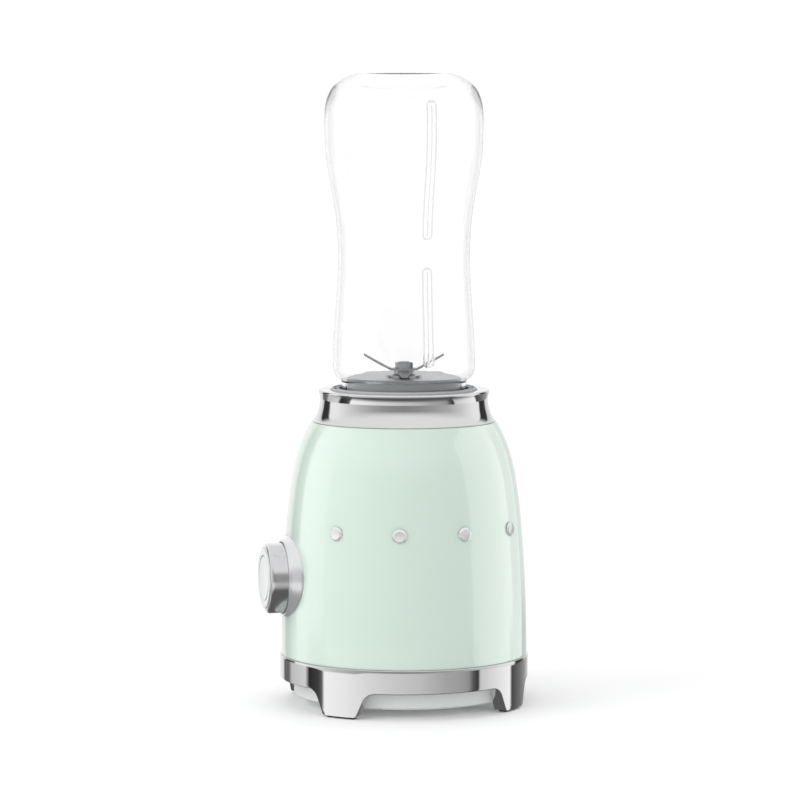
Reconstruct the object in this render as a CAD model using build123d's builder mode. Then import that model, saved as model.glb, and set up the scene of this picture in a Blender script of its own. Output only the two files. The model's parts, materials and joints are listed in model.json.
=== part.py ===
"""Personal countertop blender: a motor base that takes an inverted bottle with its screw-on blade base.

The frame has +Z up and its origin on the table, on the axis that the base, the motor and the bottle
share. The knob is at the front, on -Y, and the cord inlet is at the back, on +Y. Sizes are millimetres.
"""

from build123d import *
import os
from math import atan, cos, degrees, radians, sin

# ------------------------------------------------------------------ driving sizes
# Base
base_radius = 70.0
band_bottom = 14.7
band_height = 13.2
band_wall = 3.5
band_round = 0.5
shell_inset = 0.7
shell_height = 130.9
shell_wall = 2.5
shell_slow_taper = 0.54
collar_height = 18.0
collar_wall = 4.3
collar_flare = 4.0

# Legs and feet
leg_count = 4
leg_depth = 7.8
leg_foot_width = 21.2
leg_root_width = 34.0
rear_leg_shift = 4.0
leg_root_round = 8.0
leg_foot_round = 2.5
pad_height = 0.8
pad_inset = 1.8
pad_peg_radius = 1.6
pad_peg_height = 4.0

# Bottom cover and chassis
cover_bottom = 4.8
cover_wall = 2.5
flange_rise = 5.3
flange_width = 16.5
flange_thickness = 3.0
chassis_thickness = 3.0
chassis_opening = 30.0
shell_boss_radius = 4.5
shell_boss_height = 19.0
shell_screw_inset = 10.5
cover_boss_radius = 4.5
cover_screw_ring = 44.0
vent_count = 18
vent_width = 3.0
vent_length = 13.0
vent_ring = 30.0

# Bottle
neck_radius = 35.2
neck_wall = 2.6
bottle_height = 353.4
bottle_wall = 2.6
bottle_end_wall = 3.4
foot_swell = 4.8
waist_swell = 2.0
hip_swell = 3.2
bulge_swell = 9.2
end_flat_radius = 26.0
bottle_rises = (0.355, 0.54, 0.795, 0.955)

# Quick thread between the bottle and the blade base
thread_starts = 3
thread_lead = 15.0
thread_rise = 4.6
thread_width = 1.8
thread_depth = 1.1

# Blade base, its seat and the twist lock
skirt_gap = 1.4
skirt_wall = 1.5
seat_lip_wall = 2.5
seat_wall = 4.9
seat_floor_thickness = 3.0
lug_count = 3
lug_depth = 1.8
lug_height = 3.0
lug_half_angle = 6.0
lock_angle = 22.0
ring_thickness = 2.9
base_floor_thickness = 3.4
pedestal_height = 15.3
pedestal_wall = 2.4
gasket_thickness = 1.5
plate_thickness = 1.6

# Blades
blade_reach = 22.4
blade_lift = 8.5
blade_thickness = 1.2
blade_width = 11.0
blade_heading = 76.0
lower_blade_reach = 19.0
lower_blade_drop = 1.1
blade_shaft_radius = 3.5
nut_width = 9.0
nut_height = 2.8
serration_count = 5

# Coupling between the motor and the blades
coupling_radius = 13.5
dog_count = 3
dog_angle = 30.0
dog_length = 5.4
coupling_disc = 3.0

# Interlock
pin_radius = 2.0
pin_travel = 2.5
pin_ring = 34.0
pin_heading = 180.0

# Knob and switch
knob_height = 72.2
knob_radius = 19.75
knob_stand = 12.6
knob_rim_round = 2.5
knob_wall = 2.3
knob_face_inset = 2.85
knob_groove_inset = 4.3
bezel_rim = 5.25
bezel_stand = 2.3
bezel_sink = 3.7
bezel_depth = 8.2
bezel_floor = 2.5
switch_side = 28.0
switch_depth = 14.0
switch_shaft_radius = 3.0

# Motor
stator_side = 62.0
stator_corner = 10.0
stator_bottom = 72.0
stator_height = 28.0
armature_radius = 19.0
air_gap = 0.5
field_bore = 28.0
slot_count = 12
slot_width = 2.6
coil_overhang = 8.0
commutator_radius = 11.5
commutator_height = 12.5
motor_shaft_radius = 4.0
bearing_radius = 11.0
bearing_height = 7.0
bearing_wall = 3.0
fan_radius = 30.0
fan_height = 10.0
fan_blades = 11
mount_height = 4.0
bolt_radius = 2.0
brush_width = 8.0
brush_height = 7.0
holder_wall = 1.5

# Small parts
screw_radius = 1.5
screw_head_radius = 2.8
screw_head_height = 2.0
cord_radius = 3.2
cord_height = 11.6
bush_wall = 0.9
bush_lip = 1.0
clamp_screw_spacing = 16.0
clamp_width = 23.0
clamp_height = 9.0
clamp_depth = 6.0
stud_radius = 4.0
stud_relief = 1.2
stud_height = 101.4
stud_headings = (-48, -16, 16, 48)
board_width = 56.0
board_height = 46.0
board_thickness = 1.6

# Clearances
slip = 0.1
running = 0.05
loose = 0.4
soft = 0.4

# ------------------------------------------------------------------ levels
band_top = band_bottom + band_height
cover_floor = cover_bottom + cover_wall
flange_bottom = band_bottom + flange_rise
chassis_bottom = flange_bottom + flange_thickness
chassis_top = chassis_bottom + chassis_thickness
shell_top = band_top + shell_height
shell_ceiling = shell_top - shell_wall
collar_top = shell_top + collar_height
seat_flange_bottom = shell_ceiling - seat_floor_thickness
seat_floor = shell_top + 1.2
seat_shoulder = collar_top - 3.3
seat_top = collar_top + 1.2
ring_bottom = seat_floor + slip
ring_top = ring_bottom + ring_thickness
unit_bottom = ring_top + 1.0
unit_floor = unit_bottom + base_floor_thickness
unit_plate = unit_floor + pedestal_height
skirt_top = collar_top + 0.8
gasket_bottom = unit_floor + 0.2
neck_bottom = gasket_bottom + gasket_thickness + slip
neck_top = skirt_top + 4.4
plate_top = unit_plate + plate_thickness

coupling_bottom = seat_floor - 7.0
drive_face = coupling_bottom + coupling_disc
driven_face = unit_bottom - loose
blade_level = plate_top + 1.8

stator_top = stator_bottom + stator_height
end_bell_bottom = stator_bottom - 4.0
post_top = end_bell_bottom - mount_height
commutator_bottom = end_bell_bottom + 0.5 - commutator_height
lower_bearing_bottom = commutator_bottom - 3.0 - bearing_height
fan_bottom = stator_top + coil_overhang + 1.0
upper_plate_bottom = fan_bottom + fan_height + 2.0
upper_bearing_bottom = upper_plate_bottom + bearing_wall
upper_plate_top = upper_plate_bottom + 4.0

# ------------------------------------------------------------------ radii and angles
band_inner = base_radius - band_wall
leg_inner = base_radius - leg_depth
flange_inner = band_inner - flange_width
shell_screw_ring = band_inner - shell_screw_inset
cover_radius = leg_inner - slip
shell_foot_radius = base_radius - shell_inset
skirt_inner = neck_radius + skirt_gap
skirt_outer = skirt_inner + skirt_wall
seat_inner = skirt_outer + loose
seat_lip = seat_inner + seat_lip_wall
seat_outer = seat_inner + seat_wall
lug_radius = skirt_outer + lug_depth
lock_groove = lug_radius + 0.3
collar_opening = seat_lip + 0.3
collar_inner = seat_outer + 0.3
collar_radius = collar_inner + collar_wall
collar_foot_radius = collar_inner + collar_wall + collar_flare - 0.5
shell_top_radius = collar_radius + collar_flare
shell_opening = seat_outer + 0.9
seat_screw_ring = seat_outer + 3.2
neck_inner = neck_radius - neck_wall
plate_radius = neck_inner - loose
pedestal_radius = plate_radius - 0.3
hub_rim = coupling_radius + 2.0
hub_rim_outer = hub_rim + 2.0
screw_headings = [45 + 360 / leg_count * screw for screw in range(leg_count)]
leg_headings = [
    heading + (rear_leg_shift if heading < 90 else -rear_leg_shift if heading < 180 else 0)
    for heading in screw_headings
]
lug_headings = [30 + 360 / lug_count * lug for lug in range(lug_count)]
dog_headings = [360 / dog_count * dog for dog in range(dog_count)]
bolt_offset = stator_side / 2 - 5.5
bolt_spots = [(x * bolt_offset, y * bolt_offset) for x in (-1, 1) for y in (-1, 1)]
bearing_bore = blade_shaft_radius + 3.0


# ------------------------------------------------------------------ shared shapes
def radial_plane(heading, height=0.0):
    """A plane through the axis that faces outward in a heading: across is its x and up is its y."""
    turn = radians(heading)
    return Plane(origin=(0, 0, height), x_dir=(-sin(turn), cos(turn), 0), z_dir=(cos(turn), sin(turn), 0))


def side_plane(heading, height=0.0):
    """A plane through the axis that holds a heading: outward is its x and up is its y."""
    turn = radians(heading)
    return Plane(origin=(0, 0, height), x_dir=(cos(turn), sin(turn), 0), z_dir=(sin(turn), -cos(turn), 0))


def knob_plane(reach):
    """A plane on the knob's axis, facing the front, at a reach from the main axis."""
    return Plane(origin=(0, -reach, knob_height), x_dir=(1, 0, 0), z_dir=(0, -1, 0))


def polar(radius, heading):
    """The point at a radius and a heading in degrees."""
    return (radius * cos(radians(heading)), radius * sin(radians(heading)))


def sector(inner, outer, heading, half_angle):
    """A ring sector that is symmetric about a heading."""
    with BuildSketch() as shape:
        with BuildLine():
            rim = CenterArc((0, 0), outer, heading - half_angle, 2 * half_angle)
            root = CenterArc((0, 0), inner, heading - half_angle, 2 * half_angle)
            Line(rim @ 0, root @ 0)
            Line(rim @ 1, root @ 1)
        make_face()
    return shape.sketch


def turned(points, plane=Plane.XZ, axis=Axis.Z):
    """A solid turned from the outline of its half section, given as radius and height."""
    with BuildPart() as solid:
        with BuildSketch(plane):
            with BuildLine():
                Polyline(*points, close=True)
            make_face()
        revolve(axis=axis)
    return solid.part


def thread_ridge(inner, outer, start_level, heading, rise):
    """A ridge of square section that climbs a right-hand helix from a level and a heading."""
    with BuildPart() as ridge:
        with BuildLine() as path:
            Helix(thread_lead, rise, (inner + outer) / 2, center=(0, 0, start_level))
        start = path.line @ 0
        with BuildSketch(Plane(origin=start, x_dir=(1, 0, 0), z_dir=path.line % 0)):
            Rectangle(outer - inner, thread_width)
        sweep(is_frenet=True)
    return ridge.part.rotate(Axis.Z, heading)


def coil_spring(radius, wire, length, turns):
    """A coil spring that stands on the origin, with its wire's centre line on a helix."""
    with BuildPart() as spring:
        with BuildLine() as path:
            Helix((length - 2 * wire) / turns, length - 2 * wire, radius, center=(0, 0, wire))
        with BuildSketch(Plane(origin=path.line @ 0, z_dir=path.line % 0)):
            Circle(wire)
        sweep(is_frenet=True)
    return spring.part


def rising_screws(spots, seat, head_radius, head_height, shank_radius, tip):
    """Screws driven upward: each head hangs below its seat and each shank rises to a tip level."""
    with BuildPart() as screws:
        with BuildSketch(Plane.XY.offset(seat)):
            with Locations(*spots):
                Circle(shank_radius)
        extrude(amount=tip - seat)
        with BuildSketch(Plane.XY.offset(seat)):
            with Locations(*spots):
                Circle(head_radius)
        extrude(amount=-head_height)
        with BuildSketch(Plane.XY.offset(seat - head_height)):
            with Locations(*spots):
                Rectangle(head_radius * 1.4, head_radius * 0.3)
                Rectangle(head_radius * 0.3, head_radius * 1.4)
        extrude(amount=head_height * 0.5, mode=Mode.SUBTRACT)
    return screws.part


def shell_radius(level):
    """The shell's outer radius at a level: a slow square-law taper and a quick eighth-power turn-in."""
    share = (level - band_top) / shell_height
    taper = shell_slow_taper * share**2 + (1 - shell_slow_taper) * share**8
    return shell_foot_radius - (shell_foot_radius - shell_top_radius) * taper


shell_at_knob = round(shell_radius(knob_height), 1)
knob_face_radius = knob_radius - knob_face_inset
knob_groove_radius = knob_face_radius - knob_groove_inset
bezel_radius = knob_radius + bezel_rim
knob_reach = shell_at_knob + knob_stand
bezel_front = shell_at_knob + bezel_stand
bezel_edge = shell_at_knob - bezel_sink
bezel_back = shell_at_knob - bezel_depth


def bottle_section(inset, floor_level, end_level):
    """Half of the bottle's outline, moved inward by an inset, from a floor level to its closed end."""
    shoulder = neck_top + 7.5
    waist, hip, bulge, crown = [neck_top + share * (end_level - neck_top) for share in bottle_rises]
    neck = neck_radius - inset
    with BuildSketch(Plane.XZ) as section:
        with BuildLine():
            wall = Line((neck, floor_level), (neck, neck_top))
            foot = Spline(wall @ 1, (neck + foot_swell, shoulder), tangents=[(1, 0.5), (0, 1)])
            body = Spline(
                foot @ 1,
                (neck + waist_swell, waist),
                (neck + hip_swell, hip),
                (neck + bulge_swell, bulge),
                tangents=[(0, 1), (0, 1)],
            )
            end = Spline(
                body @ 1,
                (neck + foot_swell, crown),
                (end_flat_radius - inset, end_level),
                tangents=[(0, 1), (-1, 0.12)],
            )
            Polyline(end @ 1, (0, end_level), (0, floor_level), wall @ 0)
        make_face()
    return section.sketch


# ------------------------------------------------------------------ base ring with its legs
with BuildSketch() as leg_face:
    with BuildLine():
        Polyline(
            (-leg_foot_width / 2, pad_height),
            (leg_foot_width / 2, pad_height),
            (leg_root_width / 2, band_bottom),
            (leg_root_width, band_bottom),
            (leg_root_width, flange_bottom),
            (-leg_root_width, flange_bottom),
            (-leg_root_width, band_bottom),
            (-leg_root_width / 2, band_bottom),
            close=True,
        )
    make_face()
    fillet(leg_face.vertices().group_by(Axis.Y)[0], leg_foot_round)
    leg_roots = [
        corner
        for corner in leg_face.vertices()
        if abs(corner.Y - band_bottom) < slip and abs(corner.X) < leg_root_width - slip
    ]
    fillet(leg_roots, leg_root_round)

pad_spots = [polar(base_radius - leg_depth / 2, heading) for heading in leg_headings]
shell_screw_spots = [polar(shell_screw_ring, heading - 45) for heading in screw_headings]

with BuildPart() as base_ring:
    for heading in leg_headings:
        with BuildSketch(radial_plane(heading)):
            add(leg_face.sketch)
        extrude(amount=base_radius + leg_depth)
    with BuildSketch():
        Circle(base_radius)
        Circle(leg_inner, mode=Mode.SUBTRACT)
    extrude(amount=flange_bottom, mode=Mode.INTERSECT)
    with BuildSketch(Plane.XZ):
        with BuildLine():
            Polyline(
                (band_inner, band_bottom),
                (base_radius, band_bottom),
                (base_radius, band_top),
                (band_inner, band_top),
                close=True,
            )
        make_face()
    revolve(axis=Axis.Z)
    with BuildSketch(Plane.XY.offset(flange_bottom)):
        Circle(band_inner + slip)
        Circle(flange_inner, mode=Mode.SUBTRACT)
        with Locations(*shell_screw_spots):
            Circle(screw_radius + slip, mode=Mode.SUBTRACT)
    extrude(amount=flange_thickness)
    with BuildSketch(Plane.XY.offset(pad_height)):
        with Locations(*pad_spots):
            Circle(pad_peg_radius + running)
    extrude(amount=pad_peg_height + slip, mode=Mode.SUBTRACT)
    top_rims = base_ring.edges().filter_by(GeomType.CIRCLE).group_by(Axis.Z)[-1]
    fillet(top_rims.sort_by(SortBy.RADIUS)[-1], band_round)

with BuildPart() as rubber_feet:
    pad_half_angle = degrees(atan((leg_foot_width / 2 - pad_inset) / base_radius))
    with BuildSketch():
        for heading in leg_headings:
            add(sector(leg_inner + pad_inset, base_radius - pad_inset, heading, pad_half_angle))
    extrude(amount=pad_height)
    with BuildSketch(Plane.XY.offset(pad_height)):
        with Locations(*pad_spots):
            Circle(pad_peg_radius)
    extrude(amount=pad_peg_height)

# ------------------------------------------------------------------ bottom cover and chassis
cover_screw_spots = [polar(cover_screw_ring, heading) for heading in screw_headings]
clamp_back = cover_radius - 14.0
clamp_spots = [(side * clamp_screw_spacing / 2, clamp_back) for side in (-1, 1)]
bush_radius = cord_radius + bush_wall

with BuildPart() as bottom_cover:
    add(
        turned([
            (0, cover_bottom),
            (cover_radius - cover_wall, cover_bottom),
            (cover_radius, cover_bottom + cover_wall / 2),
            (cover_radius, flange_bottom),
            (cover_radius - cover_wall, flange_bottom),
            (cover_radius - cover_wall, cover_floor),
            (0, cover_floor),
        ])
    )
    with BuildSketch(Plane.XY.offset(cover_bottom)):
        with PolarLocations(vent_ring, vent_count):
            SlotOverall(vent_length, vent_width)
        with PolarLocations(vent_ring / 2, vent_count // 2):
            SlotOverall(vent_length * 0.7, vent_width)
        with Locations(*cover_screw_spots):
            Circle(screw_radius + slip)
        with Locations(*clamp_spots):
            Circle(screw_radius + slip)
    extrude(amount=cover_wall, mode=Mode.SUBTRACT)
    with BuildSketch(Plane(origin=(0, cover_radius, cord_height), x_dir=(-1, 0, 0), z_dir=(0, 1, 0))):
        Circle(bush_radius)
    extrude(amount=2 * cover_wall, both=True, mode=Mode.SUBTRACT)

with BuildPart() as cover_screws:
    add(
        rising_screws(
            cover_screw_spots, cover_bottom, screw_head_radius, screw_head_height,
            screw_radius, chassis_bottom - 4.0,
        )
    )

with BuildPart() as cord_bush:
    add(
        turned([
            (cord_radius, cover_radius - 7.0),
            (bush_radius, cover_radius - 7.0),
            (bush_radius, cover_radius + 0.2),
            (bush_radius + bush_lip, cover_radius + 0.2),
            (bush_radius - 0.2, band_inner - slip),
            (cord_radius, band_inner - slip),
        ]).rotate(Axis.X, -90).translate((0, 0, cord_height))
    )

with BuildPart() as cord_clamp:
    clamp_face = Plane(origin=(0, clamp_back - clamp_depth / 2, 0), x_dir=(-1, 0, 0), z_dir=(0, 1, 0))
    with BuildSketch(clamp_face):
        with Locations((0, cover_floor + clamp_height / 2)):
            RectangleRounded(clamp_width, clamp_height, 1.5)
        with Locations((0, cord_height)):
            Circle(cord_radius - slip, mode=Mode.SUBTRACT)
        with Locations((0, cover_floor)):
            Rectangle(2 * (cord_radius - slip), 2 * (cord_height - cover_floor), mode=Mode.SUBTRACT)
    extrude(amount=clamp_depth)
    with BuildSketch(Plane.XY.offset(cover_bottom)):
        with Locations(*clamp_spots):
            Circle(screw_radius)
    extrude(amount=clamp_height, mode=Mode.SUBTRACT)

with BuildPart() as clamp_screws:
    add(
        rising_screws(
            clamp_spots, cover_bottom, screw_head_radius, screw_head_height,
            screw_radius, cover_bottom + clamp_height,
        )
    )

board_back = 46.0
rail_spots = [(side * (board_width / 2 - 1.0), board_back) for side in (-1, 1)]

with BuildPart() as chassis_plate:
    with BuildSketch(Plane.XY.offset(chassis_bottom)):
        Circle(band_inner - loose)
        Circle(chassis_opening, mode=Mode.SUBTRACT)
        with Locations(*bolt_spots):
            Circle(bolt_radius + 4.5)
        with Locations(*shell_screw_spots):
            Circle(screw_radius + slip, mode=Mode.SUBTRACT)
    extrude(amount=chassis_thickness)
    with BuildSketch(Plane.XY.offset(chassis_bottom)):
        with Locations(*cover_screw_spots):
            Circle(cover_boss_radius)
            Circle(screw_radius, mode=Mode.SUBTRACT)
    extrude(amount=cover_floor - chassis_bottom)
    with BuildSketch(Plane.XY.offset(chassis_bottom)):
        with Locations(*bolt_spots):
            Circle(bolt_radius + 3.0)
    extrude(amount=post_top - chassis_bottom)
    with BuildSketch(Plane.XY.offset(post_top)):
        with Locations(*bolt_spots):
            Circle(bolt_radius)
    extrude(amount=-14.0, mode=Mode.SUBTRACT)
    with BuildSketch(Plane.XY.offset(chassis_top)):
        with Locations(*rail_spots):
            Rectangle(5.0, board_thickness + 5.0)
    extrude(amount=14.0)
    with BuildSketch(Plane.XY.offset(chassis_top)):
        with Locations((0, board_back)):
            Rectangle(board_width + slip, board_thickness + slip)
    extrude(amount=14.0, mode=Mode.SUBTRACT)

# ------------------------------------------------------------------ shell, trim and collar
knob_pocket = [
    (0, bezel_back),
    (bezel_radius + slip, bezel_back),
    (bezel_radius + slip, bezel_edge),
    (knob_radius + 1.0 + slip, bezel_front),
    (0, bezel_front),
]

with BuildPart() as shell:
    shares = (0, 0.15, 0.3, 0.45, 0.6, 0.72, 0.82, 0.9, 0.96, 1)
    levels = [band_top + shell_height * share for share in shares]
    with BuildSketch(Plane.XZ):
        with BuildLine():
            outside = Spline(*[(shell_radius(level), level) for level in levels])
            inside = Spline(
                *[(shell_radius(level) - shell_wall, level) for level in levels[:-1]],
                (shell_radius(shell_ceiling) - shell_wall, shell_ceiling),
            )
            Line(outside @ 0, inside @ 0)
            Polyline(
                outside @ 1,
                (shell_opening, shell_top),
                (shell_opening, shell_ceiling),
                inside @ 1,
            )
        make_face()
    revolve(axis=Axis.Z)
    with BuildSketch(Plane.XY.offset(chassis_top)):
        with Locations(*shell_screw_spots):
            Circle(shell_boss_radius)
    extrude(amount=shell_boss_height)
    for heading in screw_headings:
        with BuildSketch(radial_plane(heading - 45, band_top).offset(shell_screw_ring)):
            with Locations((0, shell_boss_height / 2 - 1.0)):
                Rectangle(3.0, shell_boss_height - 2.0)
        extrude(amount=shell_foot_radius - shell_wall / 2 - shell_screw_ring)
    with BuildSketch(Plane.XY.offset(chassis_top)):
        with Locations(*shell_screw_spots):
            Circle(screw_radius)
    extrude(amount=12.0, mode=Mode.SUBTRACT)
    add(
        turned(knob_pocket).rotate(Axis.X, 90).translate((0, 0, knob_height)),
        mode=Mode.SUBTRACT,
    )
    for heading in stud_headings:
        with BuildSketch(radial_plane(heading, stud_height).offset(base_radius / 2)):
            Circle(stud_radius - 1.5)
        extrude(amount=base_radius, mode=Mode.SUBTRACT)
    with BuildSketch(Plane.XY.offset(shell_ceiling)):
        with PolarLocations(seat_screw_ring, lug_count):
            Circle(screw_radius + slip)
    extrude(amount=shell_wall, mode=Mode.SUBTRACT)

with BuildPart() as shell_screws:
    add(
        rising_screws(
            shell_screw_spots, flange_bottom, screw_head_radius, screw_head_height,
            screw_radius, chassis_top + 10.0,
        )
    )

stud_back = shell_radius(stud_height) - shell_wall
stud_seat = shell_radius(stud_height - stud_radius) + slip

with BuildPart() as trim_studs:
    for heading in stud_headings:
        side = radial_plane(heading, stud_height)
        with BuildSketch(side.offset(stud_back)):
            Circle(stud_radius - 1.5)
        extrude(amount=stud_seat + slip - stud_back)
        with BuildSketch(side.offset(stud_seat)):
            Circle(stud_radius)
        extrude(amount=stud_relief)

with BuildPart() as collar:
    with BuildSketch(Plane.XZ):
        with BuildLine():
            waist = Spline(
                (collar_foot_radius, shell_top),
                (collar_radius + 0.2, shell_top + 0.36 * collar_height),
                (collar_radius - 0.8, shell_top + 0.68 * collar_height),
                (collar_radius, collar_top - 1.0),
            )
            lip = RadiusArc(waist @ 1, (collar_radius - 1.0, collar_top), -1.0)
            Polyline(
                lip @ 1,
                (collar_opening, collar_top),
                (collar_opening, seat_shoulder + slip),
                (collar_inner, seat_shoulder + slip),
                (collar_inner, shell_top),
                waist @ 0,
            )
        make_face()
    revolve(axis=Axis.Z)
    with BuildSketch(Plane.XY.offset(shell_top)):
        with PolarLocations(seat_screw_ring, lug_count):
            Circle(screw_radius)
    extrude(amount=6.0, mode=Mode.SUBTRACT)

# ------------------------------------------------------------------ bottle seat and twist lock
slot_swing = 28.0
lug_room = lug_half_angle + 1.5

with BuildPart() as bottle_seat:
    add(
        turned([
            (hub_rim, seat_floor - seat_floor_thickness),
            (seat_outer - 2.5, seat_floor - seat_floor_thickness),
            (seat_outer - 2.5, seat_flange_bottom),
            (seat_screw_ring + screw_head_radius, seat_flange_bottom),
            (seat_screw_ring + screw_head_radius, shell_ceiling),
            (seat_outer, shell_ceiling),
            (seat_outer, seat_shoulder),
            (seat_lip, seat_shoulder),
            (seat_lip, seat_top - 1.0),
            (seat_lip - 1.0, seat_top),
            (seat_inner + 0.6, seat_top),
            (seat_inner, seat_top - 0.6),
            (seat_inner, seat_floor),
            (hub_rim_outer, seat_floor),
            (hub_rim_outer, seat_floor + 2.0),
            (hub_rim, seat_floor + 2.0),
        ])
    )
    with BuildSketch(Plane.XY.offset(unit_bottom - 0.3)):
        for heading in lug_headings:
            add(sector(seat_inner - slip, lock_groove, heading, lug_room))
    extrude(amount=seat_top - unit_bottom + 1.0, mode=Mode.SUBTRACT)
    with BuildSketch(Plane.XY.offset(unit_bottom - 0.3)):
        for heading in lug_headings:
            middle = heading - lock_angle / 2
            add(sector(seat_inner - slip, lock_groove, middle, lug_room + lock_angle / 2))
    extrude(amount=lug_height + 0.8, mode=Mode.SUBTRACT)
    with BuildSketch(Plane.XY.offset(seat_floor - seat_floor_thickness)):
        add(sector(pin_ring - 2.1, pin_ring + 2.1, pin_heading, slot_swing))
    extrude(amount=seat_floor_thickness, mode=Mode.SUBTRACT)
    with BuildSketch(Plane.XY.offset(seat_flange_bottom)):
        with PolarLocations(seat_screw_ring, lug_count):
            Circle(screw_radius + slip)
    extrude(amount=seat_floor_thickness, mode=Mode.SUBTRACT)

with BuildPart() as seat_screws:
    spots = [polar(seat_screw_ring, 360 / lug_count * screw) for screw in range(lug_count)]
    add(
        rising_screws(
            spots, seat_flange_bottom, screw_head_radius - slip, screw_head_height,
            screw_radius, shell_top + 5.0,
        )
    )

peg_headings = [heading + 60 for heading in lug_headings]
tab_high = seat_floor - 3.5
tab_drop = pin_travel / (radians(lock_angle) * pin_ring)
tab_before = radians(5.0) * pin_ring
tab_after = radians(lock_angle + 5.0) * pin_ring

with BuildPart() as lock_ring:
    with BuildSketch(Plane.XY.offset(ring_bottom)):
        Circle(seat_inner - loose)
        Circle(hub_rim_outer + running, mode=Mode.SUBTRACT)
    extrude(amount=ring_thickness)
    with BuildSketch(Plane.XY.offset(ring_top)):
        for heading in peg_headings:
            add(sector(pedestal_radius + 1.4, skirt_outer - 2.4, heading, 4.0))
    extrude(amount=2.6)
    with BuildSketch(Plane.XY.offset(ring_bottom)):
        add(sector(pin_ring - 1.8, pin_ring + 1.8, pin_heading + lock_angle / 2, lock_angle / 2 + 5.0))
    extrude(amount=-8.0)
    with BuildSketch(radial_plane(pin_heading + lock_angle / 2)):
        with BuildLine():
            middle = tab_high - pin_travel / 2
            Polyline(
                (-tab_after, middle + tab_drop * tab_after),
                (tab_after, middle - tab_drop * tab_after),
                (tab_after, seat_floor - 20.0),
                (-tab_after, seat_floor - 20.0),
                close=True,
            )
        make_face()
    extrude(amount=base_radius, mode=Mode.SUBTRACT)

# ------------------------------------------------------------------ interlock pin and its switch
pin_x, pin_y = polar(pin_ring, pin_heading)
pin_top = tab_high - 0.3
bracket_top = tab_high - 8.5
bracket_thickness = 2.5
pin_collar = pin_top - 2.6
switch_top = bracket_top - bracket_thickness

with BuildPart() as interlock_bracket:
    with BuildSketch(Plane.XY.offset(switch_top)):
        with Locations((pin_x + 1.0, pin_y)):
            Rectangle(15.0, 10.0)
        with Locations((pin_x, pin_y)):
            Circle(pin_radius + running, mode=Mode.SUBTRACT)
    extrude(amount=bracket_thickness)
    with BuildSketch(Plane.XY.offset(bracket_top)):
        with Locations((pin_x - 5.5, pin_y), (pin_x + 7.5, pin_y)):
            Rectangle(2.0, 10.0)
    extrude(amount=seat_floor - seat_floor_thickness - bracket_top)

with BuildPart() as microswitch:
    with BuildSketch(Plane.XY.offset(switch_top)):
        with Locations((pin_x, pin_y)):
            Rectangle(6.5, 20.0)
    extrude(amount=-11.0)
    with BuildSketch(Plane.XY.offset(switch_top)):
        with Locations((pin_x, pin_y)):
            Circle(pin_radius + 0.2)
    extrude(amount=-6.0, mode=Mode.SUBTRACT)
    with BuildSketch(Plane.XY.offset(switch_top - 11.0)):
        with Locations((pin_x, pin_y - 7.0), (pin_x, pin_y), (pin_x, pin_y + 7.0)):
            Rectangle(3.2, 0.8)
    extrude(amount=-5.0)

with BuildPart() as interlock_pin:
    with BuildSketch(Plane(origin=(pin_x, pin_y, 0), x_dir=(1, 0, 0), z_dir=(0, -1, 0))):
        with BuildLine():
            dome = RadiusArc((0, pin_top), (pin_radius, pin_top - pin_radius), pin_radius)
            Polyline(
                dome @ 1,
                (pin_radius, pin_collar),
                (pin_radius + 1.2, pin_collar),
                (pin_radius + 1.2, pin_collar - 0.9),
                (pin_radius, pin_collar - 0.9),
                (pin_radius, switch_top + 0.2),
                (0, switch_top + 0.2),
                (0, pin_top),
            )
        make_face()
    revolve(axis=Axis((pin_x, pin_y, 0), (0, 0, 1)))

with BuildPart() as switch_button:
    with BuildSketch(Plane.XY.offset(switch_top + 0.2)):
        with Locations((pin_x, pin_y)):
            Circle(1.5)
    extrude(amount=-3.0)

with BuildPart() as interlock_spring:
    coil = coil_spring(pin_radius + 0.75, 0.35, pin_collar - 0.9 - bracket_top, 3)
    add(coil.translate((pin_x, pin_y, bracket_top)))

# ------------------------------------------------------------------ blade base
with BuildPart() as blade_base:
    add(
        turned([
            (bearing_bore, unit_plate - 11.7),
            (bearing_bore + 3.5, unit_plate - 11.7),
            (bearing_bore + 3.5, unit_plate - 3.0),
            (pedestal_radius - pedestal_wall, unit_plate - 3.0),
            (pedestal_radius - pedestal_wall, unit_bottom),
            (skirt_outer, unit_bottom),
            (skirt_outer, skirt_top),
            (skirt_inner, skirt_top),
            (skirt_inner, unit_floor),
            (pedestal_radius, unit_floor),
            (pedestal_radius, unit_plate),
            (bearing_bore, unit_plate),
        ])
    )
    with BuildSketch(Plane.XY.offset(unit_bottom)):
        for heading in peg_headings:
            add(sector(pedestal_radius + 1.0, skirt_outer - 2.0, heading, 5.0))
    extrude(amount=2.2, mode=Mode.SUBTRACT)
    with BuildSketch(Plane.XY.offset(unit_bottom + 0.2)):
        for heading in lug_headings:
            add(sector(skirt_outer - 0.5, lug_radius, heading, lug_half_angle))
    extrude(amount=lug_height)
    for heading in lug_headings:
        add(
            thread_ridge(
                neck_radius + 0.3, skirt_inner + 0.5, neck_bottom + thread_width,
                heading + 180 / thread_starts, 1.2,
            )
        )

with BuildPart() as blade_plate:
    add(
        turned([
            (bearing_bore + running, unit_plate),
            (plate_radius, unit_plate),
            (plate_radius, plate_top - 0.6),
            (plate_radius - 0.6, plate_top),
            (bearing_bore + 4.0, plate_top),
            (bearing_bore + 3.0, plate_top + 0.8),
            (bearing_bore + running, plate_top + 0.8),
        ])
    )

with BuildPart() as blade_bushes:
    for level in (unit_plate - 11.4, unit_plate - 6.0):
        with BuildSketch(Plane.XY.offset(level)):
            Circle(bearing_bore)
            Circle(blade_shaft_radius + running, mode=Mode.SUBTRACT)
        extrude(amount=4.5)

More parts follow.
